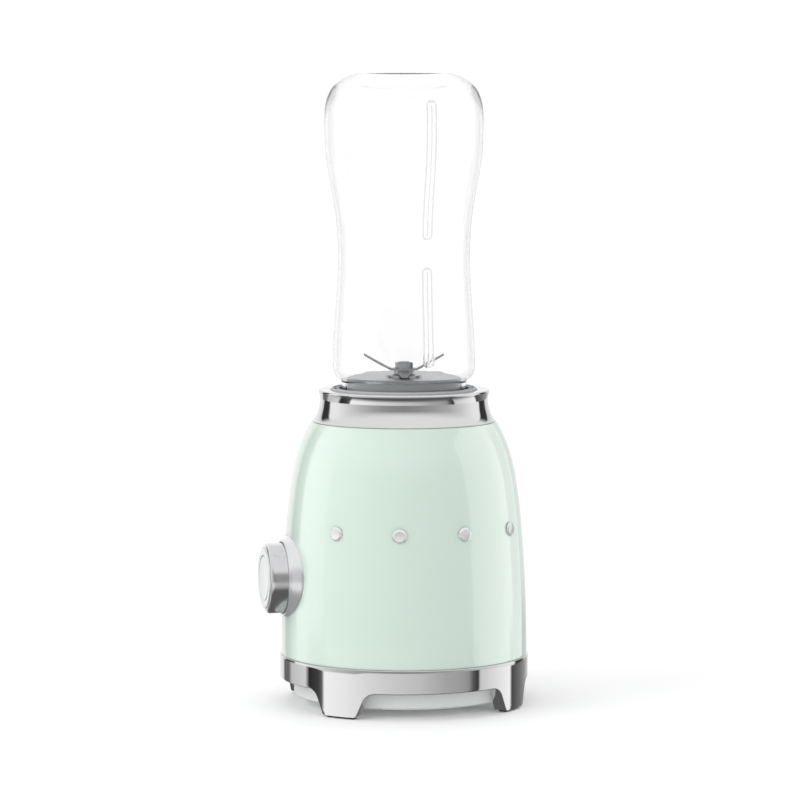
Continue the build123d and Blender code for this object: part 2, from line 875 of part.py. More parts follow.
with BuildPart() as blade_seal:
    with BuildSketch(Plane.XY.offset(unit_plate - 1.3)):
        Circle(bearing_bore)
        Circle(blade_shaft_radius + running, mode=Mode.SUBTRACT)
    extrude(amount=2.6)

# ------------------------------------------------------------------ blades on their shaft
hub_radius = 5.0
upper_level = blade_level + blade_thickness
washer_level = upper_level + blade_thickness
nut_level = washer_level + 0.6

with BuildPart() as blade_shaft:
    add(
        turned([
            (0, seat_floor + 2.0),
            (blade_shaft_radius, seat_floor + 2.0),
            (blade_shaft_radius, plate_top + 1.0),
            (hub_radius, plate_top + 1.0),
            (hub_radius, blade_level),
            (blade_shaft_radius - 0.5, blade_level),
            (blade_shaft_radius - 0.5, nut_level + nut_height + 0.5),
            (0, nut_level + nut_height + 0.5),
        ])
    )


def blade(heading, level, reach, rise, teeth):
    """A two-armed blade: a flat hub with arms that rise or drop to their tips, cut to a taper in plan."""
    root = 7.5
    with BuildPart() as strip:
        with BuildSketch(side_plane(heading)):
            with BuildLine():
                Polyline(
                    (0, level),
                    (root, level),
                    (reach, level + rise),
                    (reach, level + rise + blade_thickness),
                    (root - 0.4, level + blade_thickness),
                    (0, level + blade_thickness),
                    close=True,
                )
            make_face()
            mirror(about=Plane.YZ)
        extrude(amount=blade_width / 2, both=True)
        below = Plane(origin=(0, 0, level - blade_lift), x_dir=(*polar(1, heading), 0), z_dir=(0, 0, 1))
        with BuildSketch(below):
            Circle(root - 0.5)
            with BuildLine():
                Polyline(
                    (0, blade_width / 2 - 1.0),
                    (reach, 2.4),
                    (reach, -1.2),
                    (0, 1.0 - blade_width / 2),
                    (-reach, -2.4),
                    (-reach, 1.2),
                    close=True,
                )
            make_face()
            pitch = (reach - root - 2.0) / serration_count
            notches = [
                (root + pitch * (tooth + 1.0), blade_width / 2 - 2.1 - 0.105 * pitch * tooth)
                for tooth in range(teeth)
            ]
            with Locations(*notches):
                Circle(pitch * 0.42, mode=Mode.SUBTRACT)
            Circle(blade_shaft_radius - 0.5, mode=Mode.SUBTRACT)
        extrude(amount=3 * blade_lift, mode=Mode.INTERSECT)
    return strip.part


with BuildPart() as lower_blade:
    add(blade(blade_heading + 90, blade_level, lower_blade_reach, -lower_blade_drop, 0))

with BuildPart() as upper_blade:
    add(blade(blade_heading, upper_level, blade_reach, blade_lift, serration_count))

with BuildPart() as blade_washer:
    with BuildSketch(Plane.XY.offset(washer_level)):
        Circle(hub_radius)
        Circle(blade_shaft_radius - 0.5, mode=Mode.SUBTRACT)
    extrude(amount=nut_level - washer_level)

with BuildPart() as blade_nut:
    with BuildSketch(Plane.XY.offset(nut_level)):
        RegularPolygon(nut_width / 2, 6, major_radius=False)
        Circle(blade_shaft_radius - 0.5, mode=Mode.SUBTRACT)
    extrude(amount=nut_height)

with BuildPart() as driven_coupling:
    with BuildSketch(Plane.XY.offset(driven_face)):
        Circle(coupling_radius)
        Circle(blade_shaft_radius, mode=Mode.SUBTRACT)
    extrude(amount=coupling_disc)
    with BuildSketch(Plane.XY.offset(driven_face + coupling_disc)):
        Circle(blade_shaft_radius + 4.0)
        Circle(blade_shaft_radius, mode=Mode.SUBTRACT)
    extrude(amount=unit_plate - 12.2 - driven_face - coupling_disc)
    with BuildSketch(Plane.XY.offset(driven_face)):
        for heading in dog_headings:
            between = heading + 180 / dog_count
            add(sector(coupling_radius / 2, coupling_radius - 0.5, between, dog_angle / 2))
    extrude(amount=-dog_length)

# ------------------------------------------------------------------ gasket and bottle
with BuildPart() as neck_gasket:
    with BuildSketch(Plane.XY.offset(gasket_bottom)):
        Circle(neck_radius)
        Circle(pedestal_radius + soft, mode=Mode.SUBTRACT)
    extrude(amount=gasket_thickness)

with BuildPart() as bottle:
    with BuildSketch(Plane.XZ):
        add(bottle_section(0, neck_bottom, bottle_height))
        add(bottle_section(bottle_wall, neck_bottom, bottle_height - bottle_end_wall), mode=Mode.SUBTRACT)
    revolve(axis=Axis.Z)
    for heading in lug_headings:
        add(
            thread_ridge(
                neck_radius - 0.5, neck_radius + thread_depth, neck_bottom + thread_width,
                heading, thread_rise,
            )
        )

# ------------------------------------------------------------------ knob and switch
with BuildPart() as knob_bezel:
    add(
        turned([
            (switch_shaft_radius + 2.0, bezel_back),
            (bezel_radius, bezel_back),
            (bezel_radius, bezel_edge),
            (knob_radius + 1.0, bezel_front),
            (knob_radius + loose, bezel_front),
            (knob_radius + loose, bezel_back + bezel_floor),
            (switch_shaft_radius + 2.0, bezel_back + bezel_floor),
        ]).rotate(Axis.X, 90).translate((0, 0, knob_height))
    )

with BuildPart() as rotary_switch:
    with BuildSketch(knob_plane(bezel_back)):
        RectangleRounded(switch_side, switch_side, 3.0)
    extrude(amount=-switch_depth)
    with BuildSketch(knob_plane(bezel_back)):
        Circle(switch_shaft_radius + 2.0)
    extrude(amount=6.5)
    with BuildSketch(knob_plane(bezel_back + 6.5)):
        Circle(switch_shaft_radius + running)
    extrude(amount=-14.0, mode=Mode.SUBTRACT)

with BuildPart() as switch_nut:
    with BuildSketch(knob_plane(bezel_back + bezel_floor)):
        RegularPolygon(switch_shaft_radius + 4.5, 6, major_radius=False)
        Circle(switch_shaft_radius + 2.0, mode=Mode.SUBTRACT)
    extrude(amount=2.4)

knob_back = bezel_back + bezel_floor + 1.0
shaft_end = knob_reach - 7.0

with BuildPart() as switch_shaft:
    with BuildSketch(knob_plane(bezel_back - 7.0)):
        Circle(switch_shaft_radius)
    extrude(amount=shaft_end - bezel_back + 7.0)

with BuildPart() as knob_body:
    with BuildSketch(knob_plane(knob_back)):
        Circle(knob_radius)
    extrude(amount=knob_reach - 0.5 - knob_back)
    fillet(knob_body.faces().sort_by(Axis.Y)[0].edges(), knob_rim_round)
    with BuildSketch(knob_plane(knob_back)):
        Circle(knob_radius - knob_wall)
    extrude(amount=shaft_end - knob_back, mode=Mode.SUBTRACT)
    with BuildSketch(knob_plane(bezel_back + 7.5)):
        Circle(switch_shaft_radius + 3.0)
        Circle(switch_shaft_radius, mode=Mode.SUBTRACT)
    extrude(amount=shaft_end - bezel_back - 7.5)
    with BuildSketch(knob_plane(knob_reach - 3.0)):
        Circle(knob_face_radius + running)
    extrude(amount=3.0, mode=Mode.SUBTRACT)

with BuildPart() as knob_face:
    with BuildSketch(knob_plane(knob_reach - 3.0)):
        Circle(knob_face_radius)
    extrude(amount=3.0)
    with BuildSketch(knob_plane(knob_reach)):
        Circle(knob_groove_radius + 0.3)
        Circle(knob_groove_radius - 0.3, mode=Mode.SUBTRACT)
        with Locations((0, (knob_groove_radius + knob_face_radius) / 2)):
            SlotOverall(3.0, 1.0, rotation=90)
    extrude(amount=-0.4, mode=Mode.SUBTRACT)

# ------------------------------------------------------------------ motor frame
with BuildPart() as motor_mounts:
    with BuildSketch(Plane.XY.offset(post_top)):
        with Locations(*bolt_spots):
            Circle(bolt_radius + 3.0)
            Circle(bolt_radius, mode=Mode.SUBTRACT)
    extrude(amount=mount_height)

with BuildPart() as lower_end_bell:
    with BuildSketch(Plane.XY.offset(end_bell_bottom)):
        RectangleRounded(stator_side, stator_side, stator_corner)
        Circle(field_bore, mode=Mode.SUBTRACT)
        with Locations((stator_side / 2 - 4.5, 0), (4.5 - stator_side / 2, 0)):
            Rectangle(9.0, 16.0)
        with Locations(*bolt_spots):
            Circle(bolt_radius, mode=Mode.SUBTRACT)
    extrude(amount=stator_bottom - end_bell_bottom)
    with BuildSketch(Plane.XY.offset(lower_bearing_bottom - bearing_wall)):
        Rectangle(20.0, stator_side)
        Circle(bearing_radius + bearing_wall)
    extrude(amount=bearing_wall)
    with BuildSketch(Plane.XY.offset(lower_bearing_bottom)):
        Circle(bearing_radius + bearing_wall)
        Circle(bearing_radius, mode=Mode.SUBTRACT)
    extrude(amount=bearing_height)
    with BuildSketch(Plane.XY.offset(lower_bearing_bottom)):
        with Locations((0, (stator_side + 2 * field_bore) / 4), (0, -(stator_side + 2 * field_bore) / 4)):
            Rectangle(20.0, stator_side / 2 - field_bore)
    extrude(amount=end_bell_bottom - lower_bearing_bottom)
    with BuildSketch(Plane.XY.offset(lower_bearing_bottom)):
        Circle(motor_shaft_radius + 1.0)
    extrude(amount=-1.5, mode=Mode.SUBTRACT)

with BuildPart() as stator_core:
    with BuildSketch(Plane.XY.offset(stator_bottom)):
        RectangleRounded(stator_side, stator_side, stator_corner)
        Circle(field_bore, mode=Mode.SUBTRACT)
        for heading in (90, 270):
            add(sector(armature_radius + air_gap, field_bore + 0.5, heading, 38.0))
            add(sector(armature_radius + air_gap, armature_radius + air_gap + 1.3, heading, 60.0))
        with Locations(*bolt_spots):
            Circle(bolt_radius, mode=Mode.SUBTRACT)
    extrude(amount=stator_height)

coil_inner = armature_radius + air_gap + 1.3
with BuildPart() as field_coils:
    with BuildSketch(Plane.XY.offset(stator_bottom - coil_overhang)):
        for heading in (90, 270):
            add(sector(coil_inner, field_bore, heading, 58.0))
    extrude(amount=stator_height + 2 * coil_overhang)
    with BuildSketch(Plane.XY.offset(stator_bottom)):
        for heading in (90, 270):
            add(sector(coil_inner - slip, field_bore + slip, heading, 38.0))
    extrude(amount=stator_height, mode=Mode.SUBTRACT)
    with BuildSketch(Plane.XY.offset(stator_bottom - coil_overhang)):
        for heading in (90, 270):
            add(sector(coil_inner - slip, field_bore + slip, heading, 38.0))
    extrude(amount=1.5, mode=Mode.SUBTRACT)

with BuildPart() as upper_end_bell:
    with BuildSketch(Plane.XY.offset(stator_top)):
        with Locations(*bolt_spots):
            Circle(bolt_radius + 2.5)
    extrude(amount=upper_plate_bottom - stator_top)
    with BuildSketch(Plane.XY.offset(upper_plate_bottom)):
        Circle(bearing_radius + bearing_wall)
        for turn in (45, 135):
            Rectangle(2 * bolt_offset * 2**0.5, 9.0, rotation=turn)
        with Locations(*bolt_spots):
            Circle(bolt_radius + 2.5)
        Circle(motor_shaft_radius + 1.5, mode=Mode.SUBTRACT)
    extrude(amount=upper_plate_top - upper_plate_bottom)
    with BuildSketch(Plane.XY.offset(upper_bearing_bottom)):
        Circle(bearing_radius + bearing_wall)
    extrude(amount=bearing_height)
    with BuildSketch(Plane.XY.offset(upper_bearing_bottom)):
        Circle(bearing_radius)
    extrude(amount=bearing_height, mode=Mode.SUBTRACT)
    with BuildSketch(Plane.XY.offset(stator_top)):
        with Locations(*bolt_spots):
            Circle(bolt_radius)
    extrude(amount=upper_plate_top - stator_top, mode=Mode.SUBTRACT)

with BuildPart() as motor_bolts:
    with BuildSketch(Plane.XY.offset(upper_plate_top)):
        with Locations(*bolt_spots):
            Circle(bolt_radius)
    extrude(amount=post_top - 12.0 - upper_plate_top)
    with BuildSketch(Plane.XY.offset(upper_plate_top)):
        with Locations(*bolt_spots):
            Circle(bolt_radius + 1.7)
            RegularPolygon(bolt_radius * 0.8, 6, mode=Mode.SUBTRACT)
    extrude(amount=2.6)
    with BuildSketch(Plane.XY.offset(upper_plate_top)):
        with Locations(*bolt_spots):
            Circle(bolt_radius)
    extrude(amount=0.6)


def ball_bearing(level):
    """A deep-groove bearing: two rings joined by a shielded middle."""
    middle = (bearing_radius + motor_shaft_radius) / 2
    return turned([
        (motor_shaft_radius + running, level),
        (middle - 1.5, level),
        (middle - 1.5, level + 0.5),
        (middle + 1.5, level + 0.5),
        (middle + 1.5, level),
        (bearing_radius, level),
        (bearing_radius, level + bearing_height),
        (middle + 1.5, level + bearing_height),
        (middle + 1.5, level + bearing_height - 0.5),
        (middle - 1.5, level + bearing_height - 0.5),
        (middle - 1.5, level + bearing_height),
        (motor_shaft_radius + running, level + bearing_height),
    ])


with BuildPart() as lower_bearing:
    add(ball_bearing(lower_bearing_bottom))

with BuildPart() as upper_bearing:
    add(ball_bearing(upper_bearing_bottom))

# ------------------------------------------------------------------ brushes
brush_level = commutator_bottom + 6.5
holder_inner = commutator_radius + 1.5
holder_outer = stator_side / 2
brush_length = 10.5
spring_length = holder_outer - holder_wall - commutator_radius - slip - brush_length

with BuildPart() as brush_holders:
    for side in (1, -1):
        mouth = Plane(origin=(side * holder_inner, 0, brush_level), x_dir=(0, side, 0), z_dir=(side, 0, 0))
        with BuildSketch(mouth):
            Rectangle(brush_width + 2 * holder_wall, brush_height + 2 * holder_wall)
        extrude(amount=holder_outer - holder_inner)
        with BuildSketch(mouth):
            Rectangle(brush_width + slip, brush_height + slip)
        extrude(amount=holder_outer - holder_wall - holder_inner, mode=Mode.SUBTRACT)

with BuildPart() as carbon_brushes:
    for side in (1, -1):
        with BuildSketch(Plane(origin=(0, 0, brush_level), x_dir=(0, side, 0), z_dir=(side, 0, 0))):
            Rectangle(brush_width, brush_height)
        extrude(amount=commutator_radius + slip + brush_length)
    with BuildSketch(Plane.XY.offset(brush_level - brush_height)):
        Circle(commutator_radius + slip)
    extrude(amount=2 * brush_height, mode=Mode.SUBTRACT)

with BuildPart() as brush_springs:
    for side in (1, -1):
        spring = coil_spring(2.6, 0.35, spring_length, 4).rotate(Axis.Y, side * 90)
        add(spring.translate((side * (commutator_radius + slip + brush_length), 0, brush_level)))

# ------------------------------------------------------------------ rotor
with BuildPart() as motor_shaft:
    with BuildSketch(Plane.XY.offset(lower_bearing_bottom - 1.0)):
        Circle(motor_shaft_radius)
    extrude(amount=seat_floor - 0.5 - lower_bearing_bottom + 1.0)

slot_root = 8.0
slot_depth = armature_radius - slot_root
slot_middle = (armature_radius + slot_root) / 2 + 0.5

with BuildPart() as armature_core:
    with BuildSketch(Plane.XY.offset(stator_bottom)):
        Circle(armature_radius)
        Circle(motor_shaft_radius, mode=Mode.SUBTRACT)
        with PolarLocations(slot_middle, slot_count):
            Rectangle(slot_depth, slot_width, mode=Mode.SUBTRACT)
    extrude(amount=stator_height)

with BuildPart() as armature_windings:
    with BuildSketch(Plane.XY.offset(stator_bottom)):
        with PolarLocations(slot_middle - 1.0, slot_count):
            Rectangle(slot_depth - 2.0, slot_width)
    extrude(amount=stator_height)
    for level, height in ((stator_bottom, -2.5), (stator_top, 5.0)):
        with BuildSketch(Plane.XY.offset(level)):
            Circle(armature_radius - 2.0)
            Circle(motor_shaft_radius, mode=Mode.SUBTRACT)
        extrude(amount=height, taper=12.0)

with BuildPart() as commutator:
    with BuildSketch(Plane.XY.offset(commutator_bottom)):
        Circle(commutator_radius)
        Circle(motor_shaft_radius, mode=Mode.SUBTRACT)
        with PolarLocations(commutator_radius, 2 * slot_count):
            Rectangle(1.2, 0.6, mode=Mode.SUBTRACT)
    extrude(amount=commutator_height)

with BuildPart() as cooling_fan:
    with BuildSketch(Plane.XY.offset(fan_bottom)):
        Circle(fan_radius)
        Circle(motor_shaft_radius, mode=Mode.SUBTRACT)
    extrude(amount=1.5)
    with BuildSketch(Plane.XY.offset(fan_bottom)):
        Circle(motor_shaft_radius + 4.0)
        Circle(motor_shaft_radius, mode=Mode.SUBTRACT)
    extrude(amount=fan_height)
    with BuildSketch(Plane.XY.offset(fan_bottom)):
        with PolarLocations((fan_radius + 12.0) / 2, fan_blades):
            Rectangle(fan_radius - 12.0, 1.5, rotation=25)
        Circle(fan_radius, mode=Mode.INTERSECT)
    extrude(amount=fan_height)

with BuildPart() as drive_coupling:
    with BuildSketch(Plane.XY.offset(coupling_bottom)):
        Circle(coupling_radius)
        Circle(motor_shaft_radius, mode=Mode.SUBTRACT)
    extrude(amount=coupling_disc)
    with BuildSketch(Plane.XY.offset(coupling_bottom)):
        Circle(motor_shaft_radius + 4.0)
        Circle(motor_shaft_radius, mode=Mode.SUBTRACT)
    extrude(amount=-6.0)
    with BuildSketch(Plane.XY.offset(drive_face)):
        for heading in dog_headings:
            add(sector(coupling_radius / 2, coupling_radius - 0.5, heading, dog_angle / 2))
    extrude(amount=dog_length)

# ------------------------------------------------------------------ control board
with BuildPart() as control_board:
    with BuildSketch(Plane.XY.offset(chassis_top)):
        with Locations((0, board_back)):
            Rectangle(board_width - slip, board_thickness)
    extrude(amount=board_height)

board_face = board_back + board_thickness / 2
with BuildPart() as board_components:
    with BuildSketch(Plane(origin=(0, board_face, 0), x_dir=(-1, 0, 0), z_dir=(0, 1, 0))):
        with Locations((-16, chassis_top + 32.0)):
            RectangleRounded(12.0, 16.0, 1.0)
        with Locations((2, chassis_top + 34.0)):
            Circle(5.5)
    extrude(amount=7.0)
    with BuildSketch(Plane(origin=(0, board_face, 0), x_dir=(-1, 0, 0), z_dir=(0, 1, 0))):
        with Locations((16, chassis_top + 34.0)):
            RectangleRounded(10.0, 14.0, 0.5)
    extrude(amount=6.0)

# ------------------------------------------------------------------ one file for each piece
pieces = {
    "base_ring": base_ring,
    "rubber_feet": rubber_feet,
    "bottom_cover": bottom_cover,
    "cover_screws": cover_screws,
    "cord_bush": cord_bush,
    "cord_clamp": cord_clamp,
    "clamp_screws": clamp_screws,
    "chassis_plate": chassis_plate,
    "shell": shell,
    "shell_screws": shell_screws,
    "trim_studs": trim_studs,
    "collar": collar,
    "bottle_seat": bottle_seat,
    "seat_screws": seat_screws,
    "lock_ring": lock_ring,
    "interlock_bracket": interlock_bracket,
    "microswitch": microswitch,
    "interlock_pin": interlock_pin,
    "switch_button": switch_button,
    "interlock_spring": interlock_spring,
    "blade_base": blade_base,
    "blade_plate": blade_plate,
    "blade_bushes": blade_bushes,
    "blade_seal": blade_seal,
    "blade_shaft": blade_shaft,
    "lower_blade": lower_blade,
    "upper_blade": upper_blade,
    "blade_washer": blade_washer,
    "blade_nut": blade_nut,
    "driven_coupling": driven_coupling,
    "neck_gasket": neck_gasket,
    "bottle": bottle,
    "knob_bezel": knob_bezel,
    "rotary_switch": rotary_switch,
    "switch_nut": switch_nut,
    "switch_shaft": switch_shaft,
    "knob_body": knob_body,
    "knob_face": knob_face,
    "motor_mounts": motor_mounts,
    "lower_end_bell": lower_end_bell,
    "stator_core": stator_core,
    "field_coils": field_coils,
    "upper_end_bell": upper_end_bell,
    "motor_bolts": motor_bolts,
    "lower_bearing": lower_bearing,
    "upper_bearing": upper_bearing,
    "brush_holders": brush_holders,
    "carbon_brushes": carbon_brushes,
    "brush_springs": brush_springs,
    "motor_shaft": motor_shaft,
    "armature_core": armature_core,
    "armature_windings": armature_windings,
    "commutator": commutator,
    "cooling_fan": cooling_fan,
    "drive_coupling": drive_coupling,
    "control_board": control_board,
    "board_components": board_components,
}

os.makedirs("parts", exist_ok=True)
for name, piece in pieces.items():
    piece.part.label = name
    export_step(piece.part, f"parts/{name}.step")
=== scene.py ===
"""The looks of a personal countertop blender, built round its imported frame.

Every piece is in metres in the frame's own axes: +Z up on the axis that the base and the bottle share,
the knob on -Y. Round pieces are profiles carried round an axis, and the base ring is a swept outline.
"""

import json
import logging
import math
from dataclasses import dataclass
from enum import Enum

import bmesh
import bpy
import numpy as np
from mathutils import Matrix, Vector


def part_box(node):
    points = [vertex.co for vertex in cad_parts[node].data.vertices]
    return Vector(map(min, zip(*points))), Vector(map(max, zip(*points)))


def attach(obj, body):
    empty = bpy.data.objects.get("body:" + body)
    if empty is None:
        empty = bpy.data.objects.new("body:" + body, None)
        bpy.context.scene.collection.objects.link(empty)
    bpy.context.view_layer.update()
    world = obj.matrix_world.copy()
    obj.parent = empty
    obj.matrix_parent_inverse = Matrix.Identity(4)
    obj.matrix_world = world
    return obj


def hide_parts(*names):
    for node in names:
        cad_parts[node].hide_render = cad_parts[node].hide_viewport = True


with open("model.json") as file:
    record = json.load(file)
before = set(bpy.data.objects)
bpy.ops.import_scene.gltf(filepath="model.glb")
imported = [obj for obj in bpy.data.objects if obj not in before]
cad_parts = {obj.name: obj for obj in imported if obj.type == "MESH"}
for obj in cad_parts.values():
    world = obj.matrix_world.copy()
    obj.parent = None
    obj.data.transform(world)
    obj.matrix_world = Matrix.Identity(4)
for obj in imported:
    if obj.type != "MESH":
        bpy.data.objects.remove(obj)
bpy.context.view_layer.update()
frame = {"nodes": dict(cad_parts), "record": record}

MM = 0.001
log = logging.getLogger("blender_looks")

# A colour Mix node keeps its two colours at inputs 6 and 7 and its result at output 2.
MIX_A, MIX_B, MIX_RESULT = 6, 7, 2
SMOOTH_BEND = 35.0


class Direction(Enum):
    """The axis that a round piece is turned about."""

    UP = "up"
    FRONT = "front"


# ------------------------------------------------------------------ mesh helpers
def spline(points: list[tuple[float, float]], start: tuple[float, float], end: tuple[float, float],
           steps: int) -> np.ndarray:
    """A smooth curve through points with given end directions.

    The curve is a cubic spline over chord length: its slopes make the second derivative continuous, and
    its ends take the given directions, scaled to one unit of chord.

    Args:
        points: the points to pass through.
        start: the direction at the first point.
        end: the direction at the last point.
        steps: how many points to return for each span.

    Returns:
        The curve's points, one row each.
    """
    knots = np.array(points, float)
    chord = np.linalg.norm(np.diff(knots, axis=0), axis=1)
    count = len(knots)
    matrix = np.eye(count)
    right = np.zeros((count, 2))
    right[0] = np.array(start) / np.linalg.norm(start)
    right[-1] = np.array(end) / np.linalg.norm(end)
    for row in range(1, count - 1):
        before, after = chord[row - 1], chord[row]
        matrix[row, row - 1: row + 2] = after, 2 * (before + after), before
        slope_before = (knots[row] - knots[row - 1]) / before
        slope_after = (knots[row + 1] - knots[row]) / after
        right[row] = 3 * (after * slope_before + before * slope_after)
    slopes = np.linalg.solve(matrix, right)
    share = np.linspace(0, 1, steps, endpoint=False)[:, None]
    spans = [
        (2 * share**3 - 3 * share**2 + 1) * knots[i]
        + (share**3 - 2 * share**2 + share) * chord[i] * slopes[i]
        + (3 * share**2 - 2 * share**3) * knots[i + 1]
        + (share**3 - share**2) * chord[i] * slopes[i + 1]
        for i in range(count - 1)
    ]
    return np.vstack([*spans, knots[-1:]])


def rounded(corners: list[tuple[float, float, float]], steps: int = 6, spacing: float = 2.0,
            closed: bool = True) -> np.ndarray:
    """A polygon whose corners are rounded, with points spread along its long sides.

    Each corner is replaced by the arc that touches both of its sides: the arc starts and ends at the
    radius divided by the tangent of half the corner's angle, and its points are a blend of circle points.

    Args:
        corners: (across, along, radius) of each corner, in millimetres.
        steps: the segments in each corner's arc.
        spacing: the longest distance between points on a straight side, in millimetres.
        closed: whether the last corner joins the first.

    Returns:
        The outline's points in millimetres, one row each.
    """
    spots = np.array([corner[:2] for corner in corners], float)
    radii = [corner[2] for corner in corners]
    count = len(corners)
    path = []
    for i in range(count):
        if radii[i] == 0 or (not closed and i in (0, count - 1)):
            path.append(spots[i][None])
            continue
        back = spots[i - 1] - spots[i]
        ahead = spots[(i + 1) % count] - spots[i]
        back = back / np.linalg.norm(back)
        ahead = ahead / np.linalg.norm(ahead)
        half = math.acos(float(np.clip(back @ ahead, -1, 1))) / 2
        centre = spots[i] + (back + ahead) / np.linalg.norm(back + ahead) * radii[i] / math.sin(half)
        first = spots[i] + back * radii[i] / math.tan(half) - centre
        last = spots[i] + ahead * radii[i] / math.tan(half) - centre
        sweep = math.pi - 2 * half
        share = np.linspace(0, 1, steps + 1)[:, None]
        arc = (np.sin((1 - share) * sweep) * first + np.sin(share * sweep) * last) / math.sin(sweep)
        path.append(centre + arc)
    line = np.vstack(path)
    if closed:
        line = np.vstack([line, line[:1]])
    lengths = np.linalg.norm(np.diff(line, axis=0), axis=1)
    pieces = [
        np.linspace(line[i], line[i + 1], max(1, math.ceil(lengths[i] / spacing)), endpoint=False)
        for i in range(len(line) - 1)
        if lengths[i] > 1e-6
    ]
    return np.vstack(pieces if closed else [*pieces, line[-1:]])


def normals_of(outline: np.ndarray) -> np.ndarray:
    """The unit normal at each point of an open outline, to the right of its direction."""
    along = np.gradient(outline, axis=0)
    along /= np.linalg.norm(along, axis=1)[:, None]
    return np.column_stack([along[:, 1], -along[:, 0]])


def grid_object(name: str, grid: np.ndarray, wrap_columns: bool = True,
                sharp: float = SMOOTH_BEND) -> bpy.types.Object:
    """A closed, smooth object from a grid of points in millimetres.

    The grid's rows always join round. Points that meet, as at a pole, are merged, and the faces then
    point outward.

    Args:
        name: the piece's name.
        grid: rows by columns by three, in millimetres.
        wrap_columns: whether the last column joins the first.
        sharp: edges that bend more than this many degrees stay crisp.

    Returns:
        The new object, at the origin.
    """
    rows, columns = grid.shape[:2]
    index = np.arange(rows * columns).reshape(rows, columns)
    across = np.roll(index, -1, axis=0)
    if wrap_columns:
        beside, corner = np.roll(index, -1, axis=1), np.roll(across, -1, axis=1)
        faces = np.stack([index, across, corner, beside], axis=-1).reshape(-1, 4)
    else:
        faces = np.stack([index[:, :-1], across[:, :-1], across[:, 1:], index[:, 1:]], axis=-1).reshape(-1, 4)
    mesh = bpy.data.meshes.new(name)
    mesh.from_pydata((grid.reshape(-1, 3) * MM).tolist(), [], faces.tolist())
    body = bmesh.new()
    body.from_mesh(mesh)
    bmesh.ops.remove_doubles(body, verts=body.verts, dist=1e-7)
    bmesh.ops.recalc_face_normals(body, faces=body.faces)
    body.to_mesh(mesh)
    body.free()
    mesh.shade_smooth()
    mesh.set_sharp_from_angle(angle=math.radians(sharp))
    piece = bpy.data.objects.new(name, mesh)
    bpy.context.collection.objects.link(piece)
    return piece


def carried_round(outline: np.ndarray, turns: np.ndarray) -> np.ndarray:
    """A grid of points: an outline of radius and height carried round +Z to each turn in radians."""
    radius, height = outline[:, 0], outline[:, 1]
    return np.stack(
        [
            np.cos(turns)[:, None] * radius[None],
            np.sin(turns)[:, None] * radius[None],
            np.broadcast_to(height, (len(turns), len(height))),
        ],
        axis=-1,
    )


def face_front(grid: np.ndarray, height: float) -> np.ndarray:
    """A grid that stood on +Z laid down to point at the front, with its axis at a height."""
    return np.stack([grid[..., 0], -grid[..., 2], grid[..., 1] + height], axis=-1)


def lathe(name: str, outline: np.ndarray, segments: int = 256, closed: bool = True,
          direction: Direction = Direction.UP, height: float = 0.0) -> bpy.types.Object:
    """A round piece: an outline of radius and reach in millimetres, carried round an axis.

    Args:
        name: the piece's name.
        outline: radius and reach along the axis, one row each, in millimetres.
        segments: how many steps the turn has.
        closed: whether the outline's last point joins its first.
        direction: the axis that it is turned about.
        height: the axis's height in millimetres, where the axis lies level.

    Returns:
        The new object, at the origin.
    """
    turns = np.linspace(0, 2 * math.pi, segments, endpoint=False)
    grid = carried_round(outline, turns)
    if direction is Direction.FRONT:
        grid = face_front(grid, height)
    return grid_object(name, grid, closed)


# ------------------------------------------------------------------ materials
def linear(code: str) -> tuple[float, float, float, float]:
    """An sRGB hex colour as linear red, green, blue and alpha."""
    values = np.array([int(code[i: i + 2], 16) for i in (1, 3, 5)]) / 255
    red, green, blue = np.where(values <= 0.04045, values / 12.92, ((values + 0.055) / 1.055) ** 2.4)
    return float(red), float(green), float(blue), 1.0


def add_node(tree: bpy.types.NodeTree, kind: str, settings: dict | None = None,
             inputs: dict | None = None) -> bpy.types.Node:
    """Adds a node, sets its properties, and sets or links its inputs.

    Args:
        tree: the node tree to add to.
        kind: the node's type name.
        settings: property names and values.
        inputs: input names or numbers and values, where a socket as the value is linked.

    Returns:
        The new node.
    """
    node = tree.nodes.new(kind)
    for key, value in (settings or {}).items():
        setattr(node, key, value)
    for key, value in (inputs or {}).items():
        if isinstance(value, bpy.types.NodeSocket):
            tree.links.new(value, node.inputs[key])
        else:
            node.inputs[key].default_value = value
    return node


